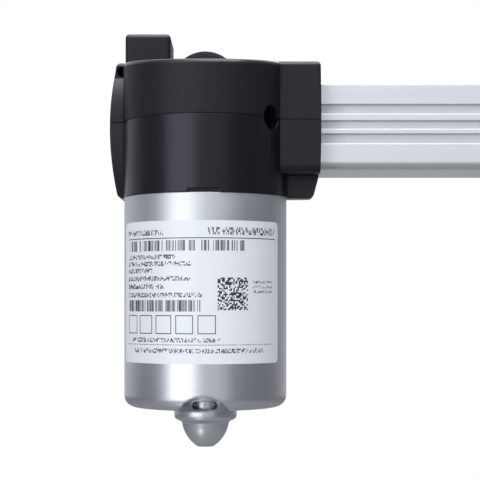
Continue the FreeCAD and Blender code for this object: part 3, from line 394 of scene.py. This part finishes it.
def fit_screws(name, node, body, finish, axis, head_h, shank_r, seed):
    """Screws in place of a CAD node's plain ones, with their heads towards the positive axis."""
    side = (axis + 1) % 3
    solids = solids_of(node)
    low, high = solids[0]
    pattern = bpy.data.objects.new("screw_pattern", pan_screw(
        (high[side] - low[side]) / 2, head_h, shank_r, high[axis] - low[axis] - head_h))
    bpy.context.scene.collection.objects.link(pattern)
    seats = bpy.data.meshes.new(name + "_seats")
    places = [(low + high) / 2 for low, high in solids]
    for place, (low, high) in zip(places, solids):
        place[axis] = high[axis] - head_h
    seats.from_pydata(places, [], [])
    heads = [0.0, 0.0, 0.0]
    heads[axis] = 1.0
    mesh = grown(screw_tree, name, seats, {
        "Screw": pattern, "Head direction": heads, "Seed": seed, "Finish": finish})
    bpy.data.objects.remove(pattern)
    new_piece(name, mesh, body, node)


def drawn_metal(name, dark, light, roughness, stretch=(1, 1, 1), edge=0.0001):
    """A metal whose fine lines run along one axis."""
    finish, shader, place = new_finish(name, 1.0)
    lines = noise(place, size=0.0006, detail=3.0, stretch=stretch)
    cloud = noise(place, size=0.02, detail=2.0)
    feed(shader, Base_Color=tint(lines * 0.6 + cloud * 0.4, dark, light),
         Roughness=lines * 0.08 + cloud * 0.08 + roughness,
         Normal=relief(lines, depth=0.00001, strength=0.10, edge=edge))
    return finish


black_oxide = drawn_metal("black_oxide", (0.028, 0.028, 0.031), (0.050, 0.050, 0.056), roughness=0.30)
fit_screws("closing_screws", "housing_screws", "drive_frame", black_oxide,
           axis=2, head_h=0.0026, shank_r=0.00175, seed=3)


# Socket contacts. Two flat blades of tinned spring brass, cut from rolled strip.
# They are pushed through the socket's floor and held by its plastic.
tinned_brass = drawn_metal("tinned_brass", (0.62, 0.55, 0.40), (0.72, 0.65, 0.50), roughness=0.24,
                           stretch=(1, 1, 12))
dress(tinned_brass, "socket_contacts")


# Motor can. Deep-drawn steel, zinc plated, with faint draw lines up its side and a pressed bearing pocket.
# It shines more towards its foot, where the plating is rubbed. It is pushed on the end plate, which is a
# zinc casting, and both are screwed up under the housing's rim.
zinc_plate, zinc_shader, zinc_place = new_finish("zinc_plate", 1.0)
draw_lines = noise(zinc_place, size=0.0005, detail=3.0, stretch=(1, 1, 70))
crystals = noise(zinc_place, size=0.0012, detail=4.0)
handled = noise(zinc_place, size=0.025, detail=3.0)
can_height = across(zinc_place, "Z")
rubbed = graded(can_height, start=-0.100, end=-0.030, low=0.26, high=0.38)
can_edge = graded(can_height, start=-0.085, end=-0.045, low=0.0012, high=0.0002)
feed(zinc_shader, Base_Color=tint(draw_lines * 0.5 + handled * 0.5, (0.53, 0.54, 0.57), (0.66, 0.67, 0.70)),
     Roughness=crystals * 0.06 + handled * 0.10 + rubbed,
     Normal=relief(draw_lines, depth=0.000008, strength=0.12, edge=can_edge))
dress(zinc_plate, "motor_can")


def moulded(name, dark, light, roughness, edge, metallic=0.0):
    """A plain moulded or cast finish."""
    finish, shader, place = new_finish(name, metallic)
    mould(shader, place, dark, light, roughness, edge)
    return finish


cast_zinc = moulded("cast_zinc", (0.40, 0.41, 0.43), (0.52, 0.53, 0.55), roughness=0.34, edge=0.0004,
                    metallic=1.0)
dress(cast_zinc, "motor_end_plate")
plated_steel = drawn_metal("plated_steel", (0.50, 0.50, 0.52), (0.62, 0.62, 0.64), roughness=0.24)
fit_screws("motor_fixing_screws", "motor_screws", "drive_frame", plated_steel,
           axis=2, head_h=0.0030, shank_r=0.0020, seed=5)


# Rating label. White polyester film with black thermal print, stuck round the front of the can.
# The rows stand in for a label's usual print: rules, bar codes, and dashes as long as lines of small type.
film, film_shader, film_place = new_finish("label_film", 0.0)
film_grain = noise(film_place, size=0.0004, detail=2.0)
film_lie = noise(film_place, size=0.012, detail=2.0, stretch=(1, 1, 3))
feed(film_shader, Base_Color=tint(film_lie * 0.8 + film_grain * 0.2, (0.76, 0.77, 0.82), (0.82, 0.83, 0.87)),
     Roughness=film_lie * 0.10 + 0.30, Normal=relief(film_lie, depth=0.00004, strength=0.10, edge=0.00005))
dress(film, "rating_label")

ink, ink_shader, ink_place = new_finish("thermal_ink", 0.0)
ink_wear = noise(ink_place, size=0.0003, detail=3.0)
feed(ink_shader, Base_Color=tint(ink_wear, (0.010, 0.010, 0.013), (0.045, 0.045, 0.052)),
     Roughness=ink_wear * 0.15 + 0.38)

print_tree, row_in = new_tree("printed_row", {
    "Start": "Float", "Width": "Float", "Foot": "Float", "Height": "Float", "Columns": "Int", "Lines": "Int",
    "Cover": "Float", "Narrowest": "Float", "Seed": "Int", "Can radius": "Float", "Can centre": "Vector",
    "Finish": "Material"})
index = row_in["Start"].make("GeometryNodeInputIndex", {}, {})
cell_w = row_in["Width"] / row_in["Columns"]
cell_h = row_in["Height"] / row_in["Lines"]
column = index % row_in["Columns"]
along = row_in["Start"] + (column + 0.5) * cell_w
rise = row_in["Foot"] + ((index - column) / row_in["Columns"] + 0.5) * cell_h
spots = index.make("GeometryNodePoints", {}, {
    "Count": row_in["Columns"] * row_in["Lines"],
    "Position": index.make("ShaderNodeCombineXYZ", {}, {"X": along, "Y": rise})})
chance = index.make("FunctionNodeRandomValue", {"data_type": "FLOAT"},
                    {2: 0.0, 3: 1.0, "Seed": row_in["Seed"]}, 1)
other_draw = 7
breadth = index.make("FunctionNodeRandomValue", {"data_type": "FLOAT"},
                     {2: row_in["Narrowest"], 3: 1.0, "Seed": row_in["Seed"] + other_draw}, 1)
mark = index.make("GeometryNodeMeshGrid", {}, {
    "Size X": 1.0, "Size Y": 1.0, "Vertices X": 2, "Vertices Y": 2})
marks = index.make("GeometryNodeInstanceOnPoints", {}, {
    "Points": spots, "Instance": mark, "Selection": chance < row_in["Cover"],
    "Scale": index.make("ShaderNodeCombineXYZ", {}, {"X": cell_w * breadth, "Y": cell_h, "Z": 1.0})})
flat = index.make("GeometryNodeRealizeInstances", {}, {"Geometry": marks})
here = index.make("GeometryNodeInputPosition", {}, {})
turn = across(here, "X") / row_in["Can radius"]
wrapped = here.make("ShaderNodeCombineXYZ", {}, {
    "X": turn.calc("SINE", turn) * row_in["Can radius"],
    "Y": turn.calc("COSINE", turn) * row_in["Can radius"] * -1.0, "Z": across(here, "Y")})
moved = here.make("ShaderNodeVectorMath", {"operation": "ADD"}, {0: wrapped, 1: row_in["Can centre"]})
close_tree(here.make("GeometryNodeSetPosition", {}, {"Geometry": flat, "Position": moved}), row_in["Finish"])

can_low, can_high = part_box("motor_can")
can_x = (can_low.x + can_high.x) / 2
can_y = (can_low.y + can_high.y) / 2
ink_thickness = 0.00002
print_r = can_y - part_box("rating_label")[0].y + ink_thickness


def print_row(start, end, foot, top, columns, lines, cover, narrowest):
    """Adds a row of print. Start and end are millimetres round the can from its front.

    Foot and top are heights in millimetres. Cover is the share of cells with a mark in them, and narrowest
    the least share of its cell that a mark fills.
    """
    seed = len(printed_rows) + first_seed
    printed_rows.append(grown(print_tree, "print_row", bpy.data.meshes.new("blank"), {
        "Start": start / 1000, "Width": (end - start) / 1000,
        "Foot": foot / 1000, "Height": (top - foot) / 1000,
        "Columns": columns, "Lines": lines, "Cover": cover, "Narrowest": narrowest, "Seed": seed,
        "Can radius": print_r, "Can centre": (can_x, can_y, 0.0), "Finish": ink}))


def rule(start, end, foot, top):
    """A solid line, or one side of a box."""
    print_row(start, end, foot, top, columns=max(1, round(end - start)), lines=1, cover=1.0, narrowest=1.0)


def type_row(start, end, foot, height):
    """A row of small dashes, as long as a line of type."""
    dash = 0.42
    print_row(start, end, foot, foot + height, columns=round((end - start) / dash), lines=3, cover=0.52,
              narrowest=0.45)


def bar_code(start, end, foot, top, columns):
    """Upright bars at random places."""
    print_row(start, end, foot, top, columns, lines=1, cover=0.66, narrowest=0.35)


printed_rows = []
first_seed = 11
margin = -34.3
type_h = 1.6
line_w = 0.3
box_w = 6.4
box_foot = -77.3
box_top = -70.7
type_row(margin, -14.8, -42.6, 1.9)
type_row(1.6, 29.6, -42.5, 2.6)
rule(margin, 30.0, -43.8, -43.5)
bar_code(margin, 15.0, -48.1, -44.4, columns=110)
type_lines = ((-9.6, -51.0), (-4.3, -53.4), (-19.6, -55.8), (-4.5, -58.6), (-14.0, -61.4), (-0.4, -64.4))
for end, foot in type_lines:
    type_row(margin, end, foot, type_h)
bar_code(-34.6, -0.6, -69.4, -65.4, columns=84)
print_row(5.0, 16.4, -68.9, -57.5, columns=22, lines=22, cover=0.5, narrowest=1.0)
for foot in (-62.9, -61.2, -59.5):
    type_row(18.5, 28.1, foot, 0.9)
for left in (-34.0, -26.0, -18.0, -10.0, -2.0):
    right = left + box_w
    rule(left, right, box_top - line_w, box_top)
    rule(left, right, box_foot, box_foot + line_w)
    rule(left, left + line_w, box_foot + line_w, box_top - line_w)
    rule(right - line_w, right, box_foot + line_w, box_top - line_w)
type_row(-30.9, 6.3, -80.2, 1.5)
print_row(-35.3, 27.7, -81.2, -81.0, columns=60, lines=1, cover=1.0, narrowest=0.5)
type_row(-29.5, 23.2, -84.0, type_h)

sheet = bmesh.new()
for printed in printed_rows:
    sheet.from_mesh(printed)
    bpy.data.meshes.remove(printed)
label_print = finished(sheet, "label_print")
label_print.materials.append(ink)
new_piece("label_print", label_print, "drive_frame")


# Motor works. A twelve-slot armature on a ground shaft runs between two ferrite arcs.
# Brass leaf springs press carbon brushes on its commutator, and its windings are enamelled copper.
# The bushes are sintered bronze, except the hardened one in the can's pocket.
def ridges(value, pitch):
    """A wave from 0 to 1 that repeats each pitch."""
    return value.calc("SINE", value * (math.tau / pitch)) * 0.5 + 0.5


def pressed_powder(name, dark, light, roughness, metallic):
    """A pressed and sintered part: fine grains with pores between them."""
    finish, shader, place = new_finish(name, metallic)
    pores = noise(place, size=0.00025, detail=4.0)
    cloud = noise(place, size=0.006, detail=2.0)
    feed(shader, Base_Color=tint(pores * 0.7 + cloud * 0.3, dark, light), Roughness=pores * 0.2 + roughness,
         Normal=relief(pores, depth=0.00004, strength=0.35, edge=0.0002))
    return finish


def banded_metal(name, dark, light, roughness, axis, pitch):
    """A metal piece made of many fine layers or turns along one axis."""
    finish, shader, place = new_finish(name, 1.0)
    layers = ridges(across(place, axis), pitch)
    stain = noise(place, size=0.004, detail=3.0)
    feed(shader, Base_Color=tint(layers * 0.6 + stain * 0.4, dark, light),
         Roughness=stain * 0.15 + roughness,
         Normal=relief(layers, depth=pitch * 0.3, strength=0.4, edge=0.0001))
    return finish


ground_steel = drawn_metal("ground_steel", (0.48, 0.48, 0.49), (0.58, 0.58, 0.59), roughness=0.18,
                           edge=0.0002)
dress(ground_steel, "motor_shaft", "worm", "tail_bushing")
bronze = pressed_powder("sintered_bronze", (0.36, 0.25, 0.13), (0.56, 0.42, 0.25), roughness=0.28,
                        metallic=1.0)
dress(bronze, "motor_front_bearing", "worm_tip_bush")
ferrite = pressed_powder("ferrite", (0.030, 0.030, 0.033), (0.060, 0.060, 0.064), roughness=0.45,
                         metallic=0.0)
dress(ferrite, "field_magnets")
carbon = pressed_powder("carbon", (0.012, 0.012, 0.013), (0.030, 0.030, 0.032), roughness=0.40,
                        metallic=0.0)
dress(carbon, "carbon_brushes")
dress(tinned_brass, "brush_springs")
laminations = banded_metal("laminations", (0.16, 0.16, 0.17), (0.30, 0.30, 0.31), roughness=0.35,
                           axis="Z", pitch=0.0005)
dress(laminations, "armature_core")
copper_wire = banded_metal("copper_wire", (0.48, 0.17, 0.07), (0.78, 0.36, 0.18), roughness=0.22,
                           axis="X", pitch=0.0006)
dress(copper_wire, "armature_winding")
copper_bars = drawn_metal("copper_bars", (0.62, 0.28, 0.15), (0.76, 0.40, 0.24), roughness=0.20)
dress(copper_bars, "commutator")
phenolic = moulded("phenolic_card", (0.10, 0.045, 0.018), (0.17, 0.085, 0.040), roughness=0.38, edge=0.0002)
dress(phenolic, "brush_card")


# Worm wheel. Natural acetal, moulded with its hub and held on the spindle by a cross pin of ground steel.
# The teeth come from the tool, and are left as moulded.
acetal = moulded("natural_acetal", (0.68, 0.66, 0.60), (0.76, 0.74, 0.68), roughness=0.30, edge=0.0002)
dress(acetal, "worm_wheel")
dress(ground_steel, "wheel_drive_pin")


# Spindle. A steel rod with a rolled four-start thread of 12 mm lead, and turned journals at both ends.
# It runs in two ball bearings in the housing and in a bronze bush in the rail's end cap.
# A black spring-steel circlip keeps it in the rear bearing.
flat_share = 0.32
flank_share = 0.18
corners = 4
thread_tree, rod_in = new_tree("rolled_thread", {
    "From": "Float", "Crest": "Float", "Root": "Float", "Lead": "Float", "Starts": "Int",
    "Axis line": "Vector", "Around": "Int", "Rows": "Int", "Finish": "Material"})
rod_grid = rod_in["From"].make("GeometryNodeMeshGrid", {}, {
    "Size X": 1.0, "Size Y": 1.0, "Vertices X": rod_in["Around"], "Vertices Y": rod_in["Rows"]})
spot = rod_grid.make("GeometryNodeInputPosition", {}, {})
share = across(spot, "X") + 0.5
thread_row = rod_grid.calc("ROUND", (across(spot, "Y") + 0.5) * (rod_in["Rows"] - 1.0))
corner = thread_row % corners
pitch = rod_in["Lead"] / rod_in["Starts"]
step = (corner > 0.5) * flat_share + (corner > 1.5) * flank_share + (corner > 2.5) * flat_share
advance = ((thread_row - corner) / corners + step) * pitch
travel = rod_in["From"] - rod_in["Lead"] + advance + share * rod_in["Lead"]
radius = rod_in["Root"] + (corner > 1.5) * (rod_in["Crest"] - rod_in["Root"])
angle = share * math.tau
rod_point = rod_grid.make("ShaderNodeCombineXYZ", {}, {
    "X": travel, "Y": angle.calc("COSINE", angle) * radius, "Z": angle.calc("SINE", angle) * radius})
rod_placed = rod_grid.make("ShaderNodeVectorMath", {"operation": "ADD"},
                           {0: rod_point, 1: rod_in["Axis line"]})
rod_skin = rod_grid.make("GeometryNodeSetPosition", {}, {"Geometry": rod_grid, "Position": rod_placed})
close_tree(rod_grid.make("GeometryNodeMergeByDistance", {}, {"Geometry": rod_skin, "Distance": 0.000002}),
           rod_in["Finish"])

spindle_low, spindle_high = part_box("spindle")
axis_y = (spindle_low.y + spindle_high.y) / 2
rear_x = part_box("spindle_rear_bearing")[1].x
thrust_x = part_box("spindle_thrust_bearing")[1].x
tail_gap = 0.0005
tail_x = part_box("spindle_tail_bush")[0].x - tail_gap
thread_depth = 0.0011
thread_sides = 28
within_cad = 0.00002
crest_r = (spindle_high.z - spindle_low.z) / 2 - within_cad
root_r = crest_r - thread_depth
rear_collar = 0.004
tail_collar = 0.0025
thread_from = thrust_x + rear_collar
thread_to = tail_x - tail_collar
thread_lead = 0.012
thread_starts = 4
pitches = math.ceil((thread_to - thread_from + thread_lead) / (thread_lead / thread_starts))
rolled_steel = drawn_metal("rolled_steel", (0.44, 0.44, 0.45), (0.56, 0.56, 0.57), roughness=0.22,
                           stretch=(30, 1, 1))
thread_mesh = grown(thread_tree, "thread", bpy.data.meshes.new("bar"), {
    "From": thread_from, "Crest": crest_r, "Root": root_r, "Lead": thread_lead, "Starts": thread_starts,
    "Axis line": (0.0, axis_y, 0.0), "Around": thread_sides + 1, "Rows": corners * (pitches + 1),
    "Finish": rolled_steel})


def journal(stations):
    """A turned length of the spindle through (place, radius) stations."""
    sides = 40
    turns = [math.tau * i / sides for i in range(sides)]
    return lofted("journal", [[(x, axis_y + r * math.cos(turn), r * math.sin(turn)) for turn in turns]
                              for x, r in stations])


seat_r = 0.0050
end_r = 0.0040
chamfer = 0.0004
run_out = 0.001
rear_journal = journal([
    (spindle_low.x, end_r - chamfer), (spindle_low.x + chamfer, end_r), (rear_x, end_r), (rear_x, seat_r),
    (thrust_x, seat_r), (thrust_x, crest_r), (thread_from - run_out, crest_r), (thread_from, root_r)])
tail_journal = journal([
    (thread_to, root_r), (thread_to + run_out, crest_r), (tail_x, crest_r), (tail_x, end_r),
    (spindle_high.x - chamfer, end_r), (spindle_high.x, end_r - chamfer)])
bar = bmesh.new()
bar.from_mesh(thread_mesh)
cut(bar, (thread_from, 0, 0), (-1, 0, 0), drop=True)
cut(bar, (thread_to, 0, 0), (1, 0, 0), drop=True)
bmesh.ops.holes_fill(bar, edges=[edge for edge in bar.edges if edge.is_boundary])
bar.from_mesh(rear_journal)
bar.from_mesh(tail_journal)
bmesh.ops.recalc_face_normals(bar, faces=bar.faces)
spindle_mesh = finished(bar, "threaded_spindle")
spindle_mesh.materials.append(rolled_steel)
new_piece("threaded_spindle", spindle_mesh, "spindle_drive", "spindle", sharp=30)
dress(ground_steel, "spindle_rear_bearing", "spindle_thrust_bearing")
dress(bronze, "spindle_tail_bush")
dress(black_oxide, "spindle_circlip")


# Rail. An extruded aluminium channel, clear anodised, with die lines along its length.
# Painted shade darkens its grooves, its lower edge and the first centimetre beside the housing, for shadow
# and dark reflections.
# Two pins lock it in the housing, and a moulded cap is screwed in two ports at its far end.
anodised, rail_shader, rail_place = new_finish("anodised_aluminium", 1.0)
die_lines = noise(rail_place, size=0.0004, detail=3.0, stretch=(700, 1, 1))
streaks = noise(rail_place, size=0.0030, detail=2.0, stretch=(120, 1, 1))
pores = noise(rail_place, size=0.0002, detail=2.0)
grooves = ((0.00735, 0.00345), (0.00135, -0.00215), (-0.00355, -0.00755))
groove_shallow = 0.0006
groove_deep = 0.0014
shade_reach = 0.011
height = across(rail_place, "Z")
# Painted shade: each groove darkens towards its upper lip, as if in the lip's shadow.
groove_shade = sum((height < top) * (height > foot) * (height - foot) / (top - foot) for top, foot in grooves)
depth = across(rail_place, "Y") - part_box("rail")[0].y
in_groove = (depth > groove_shallow) * (depth < groove_deep)
mouth_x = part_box("lower_housing")[1].x
# Painted shade beside the housing, for its shadow and dark reflection on the rail.
housing_shade = graded(across(rail_place, "X"), start=mouth_x, end=mouth_x + shade_reach, low=1.0, high=0.0)
rail_lean = upward(rail_place)
# Painted dark reflection on the lower edge, which faces the floor.
low_edge_shade = (graded(rail_lean, start=-0.05, end=-0.40, low=0.0, high=1.0)
            * graded(rail_lean, start=-0.95, end=-0.80, low=0.0, high=1.0))
# The painted shade, summed, darkens the rail's base colour.
painted_shade = (groove_shade + housing_shade * 0.9) * in_groove + housing_shade * housing_shade * 0.35 + low_edge_shade * (0.6 + housing_shade * 0.4)
feed(rail_shader, Base_Color=tint(die_lines * 0.08 + streaks * 0.12 + 0.8 - painted_shade * 0.6,
                                  (0.45, 0.46, 0.48), (0.84, 0.85, 0.88)),
     Roughness=streaks * 0.08 + pores * 0.06 + 0.27,
     Normal=relief(die_lines, depth=0.000012, strength=0.12, edge=0.0001))
dress(anodised, "rail")
dress(ground_steel, "rail_lock_pins")
cap_black = moulded("cap_black", (0.0050, 0.0051, 0.0058), (0.0100, 0.0101, 0.0114), roughness=0.36,
                    edge=0.0004)
dress(cap_black, "rail_end_cap")
fit_screws("cap_screws", "end_cap_screws", "drive_frame", black_oxide,
           axis=0, head_h=0.0018, shank_r=0.0015, seed=8)


# Limit switches. Two sealed snap switches in black plastic cases, soldered to a narrow circuit board.
# The board is glass-filled epoxy under a green mask, and lies in the rail behind the nut.
board, board_shader, board_place = new_finish("circuit_board", 0.0)
track_pitch = 0.004
track_edge = 0.62
tracks = ridges(across(board_place, "Z"), track_pitch) > track_edge
mask_cloud = noise(board_place, size=0.003, detail=2.0)
mask_green = tint(tracks * 0.7 + mask_cloud * 0.3, (0.012, 0.085, 0.030), (0.035, 0.170, 0.065))
feed(board_shader, Base_Color=mask_green, Roughness=mask_cloud * 0.1 + 0.25,
     Normal=relief(tracks, depth=0.00003, strength=0.3, edge=0.0001))
dress(board, "limit_switch_strip")
switch_black = moulded("switch_black", (0.010, 0.010, 0.011), (0.020, 0.020, 0.022), roughness=0.32,
                       edge=0.0002)
dress(switch_black, "retracted_limit_switch", "extended_limit_switch")


# Carriage. A moulded saddle that slides on the rail, in the end cap's black plastic, with the front fork.
# The nut, moulded in the worm wheel's acetal, sits in its pocket and is held by black steel screws.
dress(cap_black, "carriage")
dress(acetal, "drive_nut")
fit_screws("nut_screws", "carriage_screws", "carriage_unit", black_oxide,
           axis=1, head_h=0.0026, shank_r=0.0025, seed=13)


# Studio. A pale floor well below the hanging motor, and a white ground behind it, in a room of soft grey.
# Soft boxes stand at the left, in front, overhead and behind, and a small one lights the can from below.
def ray(tree, kind):
    """Whether a ray is of a kind that Light Path knows."""
    return tree.make("ShaderNodeLightPath", {}, {}, kind)


world = bpy.data.worlds.new("studio")
bpy.context.scene.world = world
world.use_nodes = True
sky = Wire(world.node_tree)
direction = sky.make("ShaderNodeTexCoord", {}, {}, "Generated")
behind = across(direction, "Y")
ground = graded(behind, start=0.93, end=0.99, low=0.0, high=1.0)
mirrored = ray(sky, "Is Glossy Ray") + ray(sky, "Is Transmission Ray")
seen = sky.calc("MAXIMUM", ray(sky, "Is Camera Ray"), mirrored * ground)
sideways = graded(across(direction, "X"), start=-0.9, end=0.9, low=0.0, high=1.0)
front_room = tint(sideways, (0.29, 0.31, 0.35), (0.24, 0.25, 0.27))
rear_room = tint(sideways, (0.82, 0.86, 0.93), (0.40, 0.41, 0.44))
room = tint(graded(behind, start=0.1, end=0.6, low=0.0, high=1.0), front_room, rear_room)
shade = tint(seen, room, (1.0, 1.0, 1.0))
world.node_tree.links.new(shade.socket, world.node_tree.nodes["Background"].inputs["Color"])


def soft_box(name, place, size, brightness):
    """An area lamp at a place from the can's axis, facing the housing; a brightness of 1 is white."""
    lamp = bpy.data.lights.new(name, "AREA")
    lamp.shape = "RECTANGLE"
    lamp.size, lamp.size_y = size
    lamp.energy = brightness * math.pi * lamp.size * lamp.size_y
    lamp.color = (0.95, 0.98, 1.0)
    box = bpy.data.objects.new(name, lamp)
    bpy.context.scene.collection.objects.link(box)
    box.location = Vector((can_x, can_y, 0.0)) + Vector(place)
    aim = Vector((can_x, can_y, -0.03)) - box.location
    box.rotation_euler = aim.to_track_quat("-Z", "Y").to_euler()
    box.visible_camera = False


soft_box("key_box", (-0.74, -1.18, 0.10), size=(1.05, 1.60), brightness=2.36)
soft_box("front_box", (0.39, -1.55, 0.05), size=(1.10, 1.60), brightness=0.56)
soft_box("top_box", (0.15, -0.36, 1.00), size=(1.00, 1.30), brightness=3.70)
soft_box("back_box", (0.25, 1.20, 0.85), size=(1.20, 0.90), brightness=2.00)
soft_box("low_box", (-0.09, -0.16, -0.29), size=(0.05, 0.05), brightness=4.50)

floor_r = 6.0
floor_drop = 0.28
disc = bmesh.new()
bmesh.ops.create_circle(disc, cap_ends=True, segments=96, radius=floor_r)
floor = bpy.data.objects.new("floor", finished(disc, "floor"))
bpy.context.scene.collection.objects.link(floor)
floor.location = (can_x, can_y, can_low.z - floor_drop)
paper, paper_shader, spread = new_finish("floor_paper", 0.0)
paper_shader["Base Color"].default_value = (0.30, 0.30, 0.30, 1)
paper_shader["Roughness"].default_value = 0.8
paper_nodes = paper.node_tree.nodes
lit_paper = Wire(paper.node_tree, paper_nodes["Principled BSDF"].outputs[0])
white = spread.make("ShaderNodeEmission", {}, {"Color": (1, 1, 1, 1), "Strength": 1.0})
distance = spread.make("ShaderNodeVectorMath", {"operation": "LENGTH"}, {0: spread}, "Value")
fade = graded(distance, start=0.3, end=1.6, low=0.80, high=1.0)
far = graded(across(spread, "Y"), start=1.5, end=5.0, low=0.0, high=1.0)
in_metal = ray(spread, "Is Glossy Ray") + ray(spread, "Is Transmission Ray")
blend = spread.make("ShaderNodeMixShader", {}, {
    0: fade * ray(spread, "Is Camera Ray") + far * in_metal, 1: lit_paper, 2: white})
paper.node_tree.links.new(blend.socket, paper_nodes["Material Output"].inputs["Surface"])
floor.data.materials.append(paper)


# Camera. It looks level along +Y, from below the rail and a little to the right of the can.
# The lens is shifted up, so that uprights stay upright as they do in the photograph.
photo_px = 480
focal_px = 1348
horizon_px = 303.25
camera_right = 0.0128
camera_away = 0.500
camera_z = -0.0665
camera = bpy.data.cameras.new("photo_camera")
camera.sensor_width = 36.0
camera.lens = camera.sensor_width * focal_px / photo_px
camera.shift_y = (horizon_px - photo_px / 2) / photo_px
camera_place = bpy.data.objects.new("photo_camera", camera)
bpy.context.scene.collection.objects.link(camera_place)
camera_place.location = (can_x + camera_right, can_y - camera_away, camera_z)
camera_place.rotation_euler = (math.radians(90), 0, 0)
bpy.context.scene.camera = camera_place
bpy.context.scene.view_settings.view_transform = "Standard"
